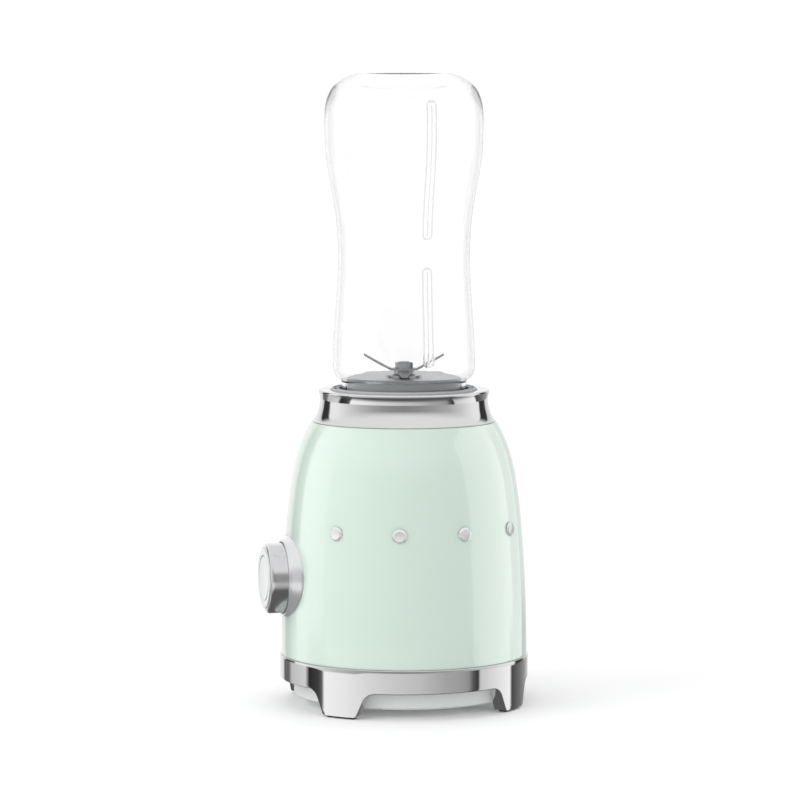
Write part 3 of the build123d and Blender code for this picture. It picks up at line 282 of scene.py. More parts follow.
@dataclass(frozen=True)
class Finish:
    """A surface finish: a base colour that drifts a little, a fine grain, and how it takes light.

    grain_mm is the width of one grain, and grain_depth is how deep the bump reads, in millimetres.
    stretch scales the grain's coordinates: under 1 it draws the grain out along an axis, and over 1 it
    makes the grain finer along it.
    """

    name: str
    colour: str
    drift: str
    metallic: float = 0.0
    roughness: float = 0.4
    roughness_spread: float = 0.06
    grain_mm: float = 0.5
    grain_depth: float = 0.01
    stretch: tuple[float, float, float] = (1.0, 1.0, 1.0)
    coat: float = 0.0
    coat_roughness: float = 0.03
    specular: float = 0.5
    wear_mm: float = 18.0

    def make(self) -> bpy.types.Material:
        """Builds the material, with colour, roughness and bump read from Object coordinates."""
        material = bpy.data.materials.new(self.name)
        material.use_nodes = True
        tree = material.node_tree
        shader = tree.nodes["Principled BSDF"]
        shader.inputs["Metallic"].default_value = self.metallic
        shader.inputs["Coat Weight"].default_value = self.coat
        shader.inputs["Coat Roughness"].default_value = self.coat_roughness
        shader.inputs["Specular IOR Level"].default_value = self.specular
        where = add_node(tree, "ShaderNodeTexCoord")
        drawn = add_node(
            tree, "ShaderNodeMapping", None, {"Vector": where.outputs["Object"], "Scale": self.stretch},
        )
        cloud = add_node(
            tree, "ShaderNodeTexNoise", None,
            {
                "Vector": where.outputs["Object"],
                "Scale": 1 / (self.wear_mm * MM),
                "Detail": 3.0,
                "Roughness": 0.6,
            },
        )
        grain = add_node(
            tree, "ShaderNodeTexNoise", None,
            {"Vector": drawn.outputs["Vector"], "Scale": 1 / (self.grain_mm * MM), "Detail": 2.0},
        )
        tint = add_node(
            tree, "ShaderNodeMix", {"data_type": "RGBA"},
            {"Factor": cloud.outputs["Fac"], MIX_A: linear(self.colour), MIX_B: linear(self.drift)},
        )
        tree.links.new(tint.outputs[MIX_RESULT], shader.inputs["Base Color"])
        rough = add_node(
            tree, "ShaderNodeMapRange", None,
            {
                "Value": grain.outputs["Fac"],
                "From Min": 0.3,
                "From Max": 0.7,
                "To Min": max(0.0, self.roughness - self.roughness_spread),
                "To Max": self.roughness + self.roughness_spread,
            },
        )
        tree.links.new(rough.outputs["Result"], shader.inputs["Roughness"])
        bump = add_node(
            tree, "ShaderNodeBump", None,
            {"Height": grain.outputs["Fac"], "Strength": 0.6, "Distance": self.grain_depth * MM},
        )
        tree.links.new(bump.outputs["Normal"], shader.inputs["Normal"])
        return material


@dataclass(frozen=True)
class ClearPlastic:
    """A moulded clear copolyester, neutral in colour.

    ior is how strongly it bends light. It is chosen well under the real plastic's, which is about
    1.57, so that the wall's edges stay light. ripple_mm is the width of one ripple in the wall, and
    ripple_depth is how deep the ripple reads, in millimetres.
    """

    name: str = "clear_copolyester_moulded"
    colour: str = "#FDFDFD"
    ior: float = 1.34
    roughness: float = 0.0
    ripple_mm: float = 30.0
    ripple_depth: float = 0.02

    def make(self) -> bpy.types.Material:
        """Builds the clear material, with the slow ripple that moulding leaves in a thick wall."""
        material = bpy.data.materials.new(self.name)
        material.use_nodes = True
        tree = material.node_tree
        shader = tree.nodes["Principled BSDF"]
        shader.inputs["Base Color"].default_value = linear(self.colour)
        shader.inputs["Roughness"].default_value = self.roughness
        shader.inputs["IOR"].default_value = self.ior
        shader.inputs["Transmission Weight"].default_value = 1.0
        where = add_node(tree, "ShaderNodeTexCoord")
        ripple = add_node(
            tree, "ShaderNodeTexNoise", None,
            {"Vector": where.outputs["Object"], "Scale": 1 / (self.ripple_mm * MM), "Detail": 1.0},
        )
        bump = add_node(
            tree, "ShaderNodeBump", None,
            {"Height": ripple.outputs["Fac"], "Strength": 0.5, "Distance": self.ripple_depth * MM},
        )
        tree.links.new(bump.outputs["Normal"], shader.inputs["Normal"])
        return material


# Each finish is named for the real material and process, and says what that gives the eye.
FINISHES: dict[str, Finish | ClearPlastic] = {
    # Powder-based enamel under clear lacquer: an even pale mint with a hard gloss over a soft one.
    "mint_enamel": Finish(
        "mint_lacquered_enamel", "#C2D2C8", "#C0D0C6", 0.0, 0.28, 0.004, 3.5, 0.0,
        coat=1.0, coat_roughness=0.02, specular=0.45, wear_mm=60.0),
    # Die-cast aluminium, polished: bright, almost a mirror, with fine haze from the mop.
    "polished_aluminium": Finish(
        "aluminium_die_cast_polished", "#E6E6E6", "#E2E2E3", 1.0, 0.05, 0.015, 0.8, 0.0006),
    # Turned and bead-blasted aluminium: soft silver with a short, even grain. It is partly metal and
    # partly plain grey, so that it keeps some light where nothing bright is mirrored.
    "satin_aluminium": Finish("aluminium_turned_satin", "#E4E5E6", "#DEDFE0", 0.75, 0.24, 0.03, 0.3, 0.002),
    # Satin chrome on the trim studs: silver, again partly plain grey, so the studs stay light.
    "trim_chrome": Finish("chrome_satin_on_zinc", "#E8EAEA", "#E2E4E4", 0.6, 0.22, 0.03, 0.2, 0.001),
    # Chrome plate over moulded plastic: silver whose reflections are clear but soft at their edges.
    "chrome_plate": Finish("chrome_plated_abs", "#E2E2E3", "#DCDCDE", 1.0, 0.17, 0.01, 1.5, 0.001),
    # Moulded light grey plastic with a spark-eroded grain.
    "grey_plastic": Finish("abs_light_grey_moulded", "#D6D7D7", "#D1D2D2", 0.0, 0.42, 0.06, 0.35, 0.02),
    # Glass-filled nylon, mid grey: matte, and a little mottled from the fibres.
    "seat_plastic": Finish(
        "nylon_grey_moulded", "#A9ACAE", "#A2A5A7", 0.0, 0.45, 0.08, 0.4, 0.02, wear_mm=8.0),
    # Clear copolyester: the wall shows by its edges, where light bends most.
    "clear_bottle": ClearPlastic(),
    # The moulded grip beads keep the mould's fine blast, which makes them a little rough. Their grey tint is
    # painted shade, so the bead lines read darker than the clear wall.
    "bottle_beads": ClearPlastic("clear_copolyester_blasted_grey_shade", "#CDCFCF", 1.34, 0.25),
    # Cold-rolled stainless steel, brushed along X: darker than bare steel, as steel in a white room
    # under clear plastic would otherwise be lost against it.
    "stainless": Finish(
        "stainless_steel_brushed", "#8E9092", "#848688", 1.0, 0.26, 0.08, 0.25, 0.006,
        stretch=(1.0, 8.0, 1.0)),
    # Zinc plate on steel: a cool, slightly cloudy silver.
    "steel": Finish("steel_zinc_plated", "#B4B6B9", "#A6A9AE", 1.0, 0.32, 0.08, 0.6, 0.006, wear_mm=6.0),
    # Moulded black rubber: nearly matte, with a faint bloom.
    "rubber_black": Finish(
        "rubber_black_moulded", "#1D1D1E", "#252526", 0.0, 0.72, 0.08, 0.4, 0.02, specular=0.35),
    # Moulded silicone: soft, pale and without a clear highlight.
    "rubber_grey": Finish("silicone_grey_moulded", "#C9CCCD", "#C0C3C4", 0.0, 0.55, 0.06, 0.6, 0.01),
    # Moulded black polypropylene: a waxy half gloss.
    "black_plastic": Finish(
        "polypropylene_black_moulded", "#1A1B1C", "#222324", 0.0, 0.48, 0.08, 0.35, 0.02),
    # Aluminium as it leaves the die: dull grey with a sandy skin.
    "die_cast": Finish("aluminium_as_cast", "#9A9C9E", "#8C8E90", 1.0, 0.48, 0.08, 0.7, 0.03),
    # Enamelled copper wire: warm streaks that run up the coil, as its wires do.
    "copper_wire": Finish(
        "copper_wire_enamelled", "#B06A3C", "#8F4F2A", 0.9, 0.34, 0.1, 0.5, 0.15,
        stretch=(1.0, 1.0, 0.08)),
    # Sintered bronze: open-grained and dry, with a brown cast.
    "bronze": Finish("bronze_sintered", "#A98555", "#8F7048", 1.0, 0.5, 0.08, 0.3, 0.02),
    # Pressed carbon: near black with a faint metallic sheen.
    "carbon": Finish("carbon_pressed", "#26262A", "#303034", 0.2, 0.6, 0.1, 0.3, 0.02),
    # Coated glass epoxy: a deep green half gloss.
    "circuit_board": Finish(
        "glass_epoxy_green_coated", "#1F5A34", "#2A6E42", 0.0, 0.35, 0.05, 0.8, 0.01),
}


class Paintbox:
    """Makes each finish once and dresses pieces with it."""

    def __init__(self) -> None:
        """Starts with no material made."""
        self.made: dict[str, bpy.types.Material] = {}

    def material(self, slot: str) -> bpy.types.Material:
        """The material of a slot, made the first time that it is asked for."""
        if slot not in self.made:
            self.made[slot] = FINISHES[slot].make()
        return self.made[slot]

    def dress(self, piece: bpy.types.Object, slot: str) -> None:
        """Gives a piece the one material of a slot."""
        piece.data.materials.clear()
        piece.data.materials.append(self.material(slot))

    def dress_frame(self) -> None:
        """Dresses every CAD node with the finish of its slot in the record."""
        slots = {part["node"]: part["material_slot"] for part in frame["record"]["subparts"]}
        for name, node in frame["nodes"].items():
            for index in range(len(node.material_slots)):
                node.material_slots[index].material = self.material(slots[name])
            if not node.material_slots:
                node.data.materials.append(self.material(slots[name]))


def install(piece: bpy.types.Object, paint: Paintbox, slot: str, body: str, *nodes: str,
            finish: str | None = None) -> bpy.types.Object:
    """Dresses a new piece, rides it on its body and lets it stand for its CAD nodes.

    Args:
        piece: the new piece.
        paint: the finishes.
        slot: the record's material slot.
        body: the CAD body that it rides on.
        nodes: the CAD nodes that it replaces.
        finish: the finish, where it isn't the slot's own.

    Returns:
        The piece.
    """
    paint.dress(piece, finish or slot)
    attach(piece, body)
    if nodes:
        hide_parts(*nodes)
    log.info("%s: %d faces on %s", piece.name, len(piece.data.polygons), body)
    return piece


# ------------------------------------------------------------------ sub-assemblies
@dataclass
class Casing:
    """The enamelled shell, the collar above it and the trim studs on its side. Sizes are millimetres."""

    foot_radius: float = 69.3
    foot_level: float = 27.9
    height: float = 130.9
    top_radius: float = 52.0
    opening: float = 44.3
    wall: float = 2.5
    slow_taper: float = 0.54
    collar_waist: float = 0.8
    collar_radius: float = 48.0
    collar_inner: float = 43.7
    collar_opening: float = 41.3
    stud_radius: float = 4.0
    stud_relief: float = 1.2
    stud_height: float = 101.4
    stud_headings: tuple[float, ...] = (-48.0, -16.0, 16.0, 48.0)

    def radius_at(self, level: np.ndarray) -> np.ndarray:
        """The shell's radius: the foot's, less a slow square-law taper and a quick eighth-power turn-in."""
        share = (level - self.foot_level) / self.height
        taper = self.slow_taper * share**2 + (1 - self.slow_taper) * share**8
        return self.foot_radius - (self.foot_radius - self.top_radius) * taper

    def make_shell(self, cutter: bpy.types.Object) -> bpy.types.Object:
        """The shell: its outer wall, rolled top edge, ceiling and inner wall as one closed outline.

        Args:
            cutter: a solid that is cut from the shell, where the knob's bezel sinks in.

        Returns:
            The shell.
        """
        top = self.foot_level + self.height
        rise = np.linspace(self.foot_level + 0.5, top - 0.9, 120)
        outer = np.column_stack([self.radius_at(rise), rise])
        ceiling = top - self.wall
        foot = np.array([
            [self.foot_radius - 0.5, self.foot_level],
            [self.foot_radius - 0.15, self.foot_level + 0.15],
        ])
        crown = rounded(
            [(outer[-1, 0], outer[-1, 1], 0), (self.top_radius + 0.05, top, 0.8), (self.opening, top, 0.4),
             (self.opening, ceiling, 0), (self.radius_at(ceiling) - self.wall, ceiling, 1.0),
             (self.radius_at(top - 9) - self.wall, top - 9, 0)],
            closed=False,
        )[1:]
        fall = np.linspace(top - 10, self.foot_level, 40)
        inner = np.column_stack([self.radius_at(fall) - self.wall, fall])
        shell = lathe("shell_enamel", np.vstack([foot, outer, crown, inner]), 288)
        cut = shell.modifiers.new("knob_pocket", "BOOLEAN")
        cut.object = cutter
        cut.solver = "EXACT"
        bpy.context.view_layer.update()
        graph = bpy.context.evaluated_depsgraph_get()
        mesh = bpy.data.meshes.new_from_object(shell.evaluated_get(graph))
        shell.modifiers.clear()
        shell.data = mesh
        bpy.data.objects.remove(cutter)
        return shell

    def make_collar(self) -> bpy.types.Object:
        """The waisted collar: a concave outer face between a flared foot and a rolled lip."""
        low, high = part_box("collar")
        foot, bottom, top = high.x / MM, low.z / MM, high.z / MM
        inner, opening, radius = self.collar_inner, self.collar_opening, self.collar_radius
        lip_start, lip_under = top - 1.2, top - 3.2
        waist = spline(
            [(foot - 0.15, bottom + 0.5), (radius + 0.2, bottom + 0.36 * (top - bottom)),
             (radius - self.collar_waist, bottom + 0.68 * (top - bottom)), (radius, lip_start)],
            (-1.0, 0.9), (0.35, 1.0), 14,
        )
        lip = rounded(
            [(radius, lip_start, 0), (radius + 0.05, top, 1.0), (opening, top, 0.5),
             (opening, lip_under, 0.2), (inner, lip_under, 0), (inner, bottom, 0.2),
             (foot - 0.5, bottom, 0.3), (foot - 0.15, bottom + 0.5, 0)],
            closed=False, spacing=1.2,
        )[1:-1]
        return lathe("collar_polished", np.vstack([waist, lip]), 256)

    def make_stud(self, heading: float) -> bpy.types.Object:
        """One trim stud: a low button with a rounded rim on a round pin, turned about a level line.

        Args:
            heading: the stud's heading in degrees, where 0 is +X.

        Returns:
            The stud.
        """
        surface = float(self.radius_at(np.array(self.stud_height - self.stud_radius)))
        radius, relief = self.stud_radius, self.stud_relief
        button = rounded(
            [(0.0, surface + relief + 0.1, 0), (radius - 0.9, surface + relief - 0.05, 1.0),
             (radius, surface + 0.35, 0.25), (radius, surface - 0.2, 0)],
            closed=False, spacing=0.6,
        )[:-1]
        pin = [[radius, surface - 0.2], [radius - 1.5, surface - 0.2], [radius - 1.5, surface - 2.0],
               [0.0, surface - 2.0]]
        outline = np.vstack([button, pin])
        turns = np.linspace(0, 2 * math.pi, 40, endpoint=False)
        grid = face_front(carried_round(outline, turns), self.stud_height)
        turn = math.radians(heading + 90)
        cos, sin = math.cos(turn), math.sin(turn)
        across = grid[..., 0] * cos - grid[..., 1] * sin
        along = grid[..., 0] * sin + grid[..., 1] * cos
        turned = np.stack([across, along, grid[..., 2]], axis=-1)
        return grid_object(f"trim_stud_{int(heading) % 360}", turned, False)

    def build(self, paint: Paintbox, cutter: bpy.types.Object) -> None:
        """Makes and installs the casing's pieces."""
        install(self.make_shell(cutter), paint, "mint_enamel", "base", "shell")
        install(self.make_collar(), paint, "polished_aluminium", "base", "collar")
        for number, heading in enumerate(self.stud_headings):
            stud = self.make_stud(heading)
            install(stud, paint, "chrome_plate", "base", *(["trim_studs"] if number == 0 else []),
                    finish="trim_chrome")


@dataclass
class BaseRing:
    """The cast band and its four legs, swept as one skin along the band's lower outline."""

    radius: float = 70.0
    band_bottom: float = 14.7
    band_top: float = 27.9
    band_wall: float = 3.5
    leg_depth: float = 7.8
    leg_bottom: float = 0.8
    foot_half: float = 10.6
    root_half: float = 17.0
    root_round: float = 8.0
    foot_round: float = 2.5
    edge_round: float = 0.45
    flange_level: float = 20.0
    leg_headings: tuple[float, ...] = (49.0, 131.0, 225.0, 315.0)

    def lower_outline(self, before: float, after: float) -> np.ndarray:
        """The lower outline past one leg, unrolled flat: distance round the band against level.

        Args:
            before: how far the outline starts before the leg's middle.
            after: how far it goes on after the leg's middle.

        Returns:
            The outline's points, without the last, which the next leg's outline starts with.
        """
        corners = [
            (-before, self.band_bottom, 0),
            (-self.root_half, self.band_bottom, self.root_round),
            (-self.foot_half, self.leg_bottom, self.foot_round),
            (self.foot_half, self.leg_bottom, self.foot_round),
            (self.root_half, self.band_bottom, self.root_round),
            (after, self.band_bottom, 0),
        ]
        return rounded(corners, 14, 1.2, closed=False)

    def sector(self, heading: float, before: float, after: float) -> np.ndarray:
        """The grid of one leg and its share of the band.

        Each point of the lower outline carries one section: under the rolled edge, up the outer face, over
        the rolled top and down the inner face. The lower edge rolls in along the outline's own normal, so
        it follows the legs' sides as it does the band's underside.

        Args:
            heading: the leg's heading in degrees.
            before: how far the sector reaches before the leg's middle, in millimetres.
            after: how far it reaches after it.

        Returns:
            Points of the outline by points of the section.
        """
        outline = self.lower_outline(before, after)
        inward = -normals_of(outline)[:-1]
        distance, level = outline[:-1, 0], outline[:-1, 1]
        fade = np.clip((np.abs(distance) - self.root_half - self.root_round) / 6.0, 0, 1)
        thin = self.radius - self.band_wall
        inner = self.radius - self.leg_depth + (self.leg_depth - self.band_wall) * fade**2 * (3 - 2 * fade)
        edge, full = self.edge_round, np.ones_like(level)
        roll = np.linspace(math.pi / 2, 0, 6)
        under = [
            (
                distance + inward[:, 0] * edge * (1 - math.sin(step)),
                level + inward[:, 1] * edge * (1 - math.sin(step)),
                full * (self.radius - edge * (1 - math.cos(step))),
            )
            for step in roll
        ]
        start = under[-1][1]
        face = [
            (distance, start + (self.band_top - edge - start) * share, full * self.radius)
            for share in np.linspace(0.08, 1.0, 10)
        ]
        over = [
            (distance, full * (self.band_top - edge * (1 - math.sin(step))),
             full * (self.radius - edge * (1 - math.cos(step))))
            for step in roll[::-1][1:]
        ]
        inside = [
            (distance, full * self.band_top, full * thin),
            (distance, full * self.flange_level, full * thin),
            (distance, full * (self.flange_level - 0.5), inner),
            (distance, level, inner),
        ]
        around, levels, radii = (
            np.stack(columns, axis=1) for columns in zip(*under, *face, *over, *inside, strict=True)
        )
        turns = around / self.radius + math.radians(heading)
        return np.stack([radii * np.cos(turns), radii * np.sin(turns), levels], axis=-1)

    def build(self, paint: Paintbox) -> None:
        """Makes and installs the ring, each leg's sector meeting its neighbours halfway between them."""
        headings = np.array(self.leg_headings)
        gaps = np.diff(np.append(headings, headings[0] + 360))
        half = np.radians(gaps) / 2 * self.radius
        sectors = [
            self.sector(heading, half[number - 1], half[number]) for number, heading in enumerate(headings)
        ]
        ring = grid_object("base_ring_cast", np.concatenate(sectors), True, 40.0)
        install(ring, paint, "polished_aluminium", "base", "base_ring")


@dataclass
class Knob:
    """The control knob, its face disc and the dished bezel that it turns in."""

    height: float = 72.2
    radius: float = 19.75
    reach: float = 80.8
    rim_round: float = 2.5
    face_radius: float = 16.9
    groove_radius: float = 12.6
    bezel_radius: float = 25.0
    bezel_front: float = 70.5
    bezel_edge: float = 64.5
    bezel_back: float = 60.0

    def pocket(self) -> bpy.types.Object:
        """The solid that the shell is cut by: the bezel's outline, a tenth of a millimetre larger."""
        outline = np.array([
            (0, self.bezel_back - 4), (self.bezel_radius + 0.1, self.bezel_back - 4),
            (self.bezel_radius + 0.1, self.bezel_edge), (self.radius + 1.1, self.bezel_front + 0.1),
            (self.radius + 0.2, self.bezel_front + 6), (0, self.bezel_front + 6),
        ])
        return lathe("knob_pocket", outline, 128, False, Direction.FRONT, self.height)

    def build(self, paint: Paintbox) -> None:
        """Makes and installs the bezel, the knob's body and its face."""
        bezel = rounded(
            [(5.0, self.bezel_back, 0.3), (self.bezel_radius, self.bezel_back, 0.4),
             (self.bezel_radius, self.bezel_edge, 1.2), (self.radius + 2.0, self.bezel_front - 1.2, 3.0),
             (self.radius + 1.6, self.bezel_front, 0.5), (self.radius + 0.4, self.bezel_front, 0.3),
             (self.radius + 0.4, self.bezel_back + 2.5, 0.5), (5.0, self.bezel_back + 2.5, 0.3)],
            spacing=1.0,
        )
        install(lathe("knob_bezel_dished", bezel, 160, True, Direction.FRONT, self.height),
                paint, "satin_aluminium", "base", "knob_bezel")
        body = rounded(
            [(3.0, self.reach - 17.0, 0.2), (6.0, self.reach - 17.0, 0.3), (6.0, self.reach - 8.0, 0.3),
             (self.radius - 2.3, self.reach - 8.0, 0.5), (self.radius - 2.3, self.reach - 17.3, 0.3),
             (self.radius, self.reach - 17.3, 0.4), (self.radius, self.reach - 0.5, self.rim_round),
             (self.face_radius, self.reach - 0.5, 0.2), (self.face_radius, self.reach - 3.0, 0.1),
             (3.0, self.reach - 3.0, 0.1)],
            spacing=1.0,
        )
        install(lathe("knob_body_chromed", body, 160, True, Direction.FRONT, self.height),
                paint, "chrome_plate", "knob", "knob_body")
        groove = self.groove_radius
        face = rounded(
            [(0, self.reach - 0.25, 0), (groove - 0.45, self.reach - 0.05, 0.2),
             (groove - 0.2, self.reach - 0.5, 0.1), (groove + 0.2, self.reach - 0.5, 0.1),
             (groove + 0.45, self.reach, 0.2),
             (self.face_radius - 0.05, self.reach, 0.5), (self.face_radius - 0.05, self.reach - 3.0, 0.1),
             (0, self.reach - 3.0, 0)],
            spacing=1.0, closed=False,
        )
        install(lathe("knob_face_disc", face, 128, False, Direction.FRONT, self.height),
                paint, "satin_aluminium", "knob", "knob_face")


@dataclass
class Bottle:
    """The clear bottle, neck down: a waisted body, a quick thread and two moulded grip beads."""

    neck_radius: float = 35.2
    neck_bottom: float = 169.3
    neck_top: float = 182.0
    end_level: float = 353.4
    wall: float = 2.2
    end_wall: float = 3.4
    foot_swell: float = 4.8
    waist_swell: float = 2.0
    hip_swell: float = 3.2
    bulge_swell: float = 9.2
    end_radius: float = 26.0
    thread_starts: int = 3
    thread_lead: float = 15.0
    thread_depth: float = 1.05
    bead_heading: float = 6.0
    bead_half: float = 2.6
    bead_line: float = 0.42
    bead_relief: float = 0.4
    beads: tuple[tuple[float, float], ...] = ((192.0, 246.0), (262.0, 338.0))
    bead_margin: float = 0.13

    def outline(self, inset: float, end_level: float, throat_steps: int = 44, foot_steps: int = 16,
                body_steps: int = 52, end_steps: int = 20) -> np.ndarray:
        """The wall's outline from the neck's end to the axis, moved in by an inset.

        Args:
            inset: how far the outline moves in, in millimetres.
            end_level: the level of the flat end.
            throat_steps: points up the neck.
            foot_steps: points on the curve out of the neck.
            body_steps: points on each of the body's three spans.
            end_steps: points on each of the end's two spans.

        Returns:
            The outline's points in millimetres, one row each.
        """
        neck = self.neck_radius - inset
        span = end_level - self.neck_top
        foot_level = self.neck_top + 7.5
        waist, hip, bulge, crown = (self.neck_top + share * span for share in (0.355, 0.54, 0.795, 0.955))
        throat = np.column_stack(
            [np.full(throat_steps, neck), np.linspace(self.neck_bottom, self.neck_top, throat_steps)]
        )[:-1]
        foot = spline(
            [(neck, self.neck_top), (neck + self.foot_swell, foot_level)], (1, 0.5), (0, 1), foot_steps,
        )
        body = spline(
            [(neck + self.foot_swell, foot_level), (neck + self.waist_swell, waist),
             (neck + self.hip_swell, hip), (neck + self.bulge_swell, bulge)],
            (0, 1), (0, 1), body_steps,
        )
        end = spline(
            [(neck + self.bulge_swell, bulge), (neck + self.foot_swell, crown),
             (self.end_radius - inset, end_level)],
            (0, 1), (-1, 0.12), end_steps,
        )
        cap = np.column_stack([np.linspace(end[-1, 0], 0, 8), np.full(8, end_level)])[1:]
        return np.vstack([throat, foot[:-1], body[:-1], end, cap])

    def relief(self, turns: np.ndarray, outline: np.ndarray) -> np.ndarray:
        """How far the outer wall stands proud at each turn and level, in millimetres.

        A thread start is a smooth ridge about a level that climbs with the turn. A grip bead is a fine
        line at a set distance from a vertical spine, which makes a long capsule, with one more line on
        the spine itself.

        Args:
            turns: the turns in radians.
            outline: the outer wall's radius and level.

        Returns:
            Turns by points of the outline.
        """
        turn, radius, level = turns[:, None], outline[None, :, 0], outline[None, :, 1]
        proud = np.zeros((len(turns), len(outline)))
        for start in range(self.thread_starts):
            lap = (turn - math.radians(30 + 360 / self.thread_starts * start)) % (2 * math.pi)
            centre = self.neck_bottom + 1.9 + self.thread_lead * lap / (2 * math.pi)
            fade = np.clip((110 - np.degrees(lap)) / 8, 0, 1) * np.clip(np.degrees(lap) / 8, 0, 1)
            ridge = np.clip((1.0 - np.abs(level - centre)) / 0.35, 0, 1)
            proud = np.maximum(proud, self.thread_depth * fade * ridge)
        across = radius * (turn - math.radians(self.bead_heading))
        for low, high in self.beads:
            beyond = np.clip(level, low + self.bead_half, high - self.bead_half) - level
            away = np.hypot(across, beyond)
            rim = np.exp(-(((away - self.bead_half) / self.bead_line) ** 2))
            spine = np.exp(-((across / self.bead_line) ** 2)) * (np.abs(beyond) < 0.5)
            body = (level > self.neck_top + 4) & (level < self.end_level - 6)
            proud = np.maximum(proud, self.bead_relief * np.maximum(rim, spine) * body)
        return proud

    def mark_beads(self, bottle: bpy.types.Object, paint: Paintbox) -> None:
        """Gives the outer wall's faces on the grip beads a second material, by their place on the wall."""
        mesh = bottle.data
        centres = np.empty(len(mesh.polygons) * 3)
        normals = np.empty(len(mesh.polygons) * 3)
        mesh.polygons.foreach_get("center", centres)
        mesh.polygons.foreach_get("normal", normals)
        across, along, level = (centres.reshape(-1, 3) / MM).T
        outward = across * normals[0::3] + along * normals[1::3] > 0
        off = np.hypot(across, along) * (np.arctan2(along, across) - math.radians(self.bead_heading))
        lined = np.zeros(len(level), bool)
        for low, high in self.beads:
            beyond = np.clip(level, low + self.bead_half, high - self.bead_half) - level
            rim = np.abs(np.hypot(off, beyond) - self.bead_half) < 1.1 * self.bead_line
            spine = (np.abs(off) < 0.8 * self.bead_line) & (np.abs(beyond) < 0.5)
            lined |= rim | spine
        # The beads' second material is tinted grey: painted shade along the bead lines.
        mesh.materials.append(paint.material("bottle_beads"))
        mesh.polygons.foreach_set("material_index", (lined & outward).astype(np.int32))

    def build(self, paint: Paintbox) -> None:
        """Makes and installs the bottle as one skin: down its outer wall, then up its inner wall."""
        near = np.linspace(-self.bead_margin, self.bead_margin, 90)
        far = np.linspace(self.bead_margin, 2 * math.pi - self.bead_margin, 142)[1:-1]
        turns = np.concatenate([near, far]) + math.radians(self.bead_heading)
        outer = self.outline(0.0, self.end_level)
        inner = self.outline(self.wall, self.end_level - self.end_wall, 12, 8, 16, 14)
        skin = carried_round(outer, turns)
        outward = np.stack([np.cos(turns), np.sin(turns), np.zeros_like(turns)], axis=-1)[:, None]
        skin = skin + outward * (self.relief(turns, outer) * (outer[:, 0] > 1))[..., None]
        grid = np.concatenate([skin[:, ::-1], carried_round(inner, turns)], axis=1)
        bottle = grid_object("bottle_clear", grid, False, 60.0)
        install(bottle, paint, "clear_bottle", "bottle_body", "bottle")
        self.mark_beads(bottle, paint)


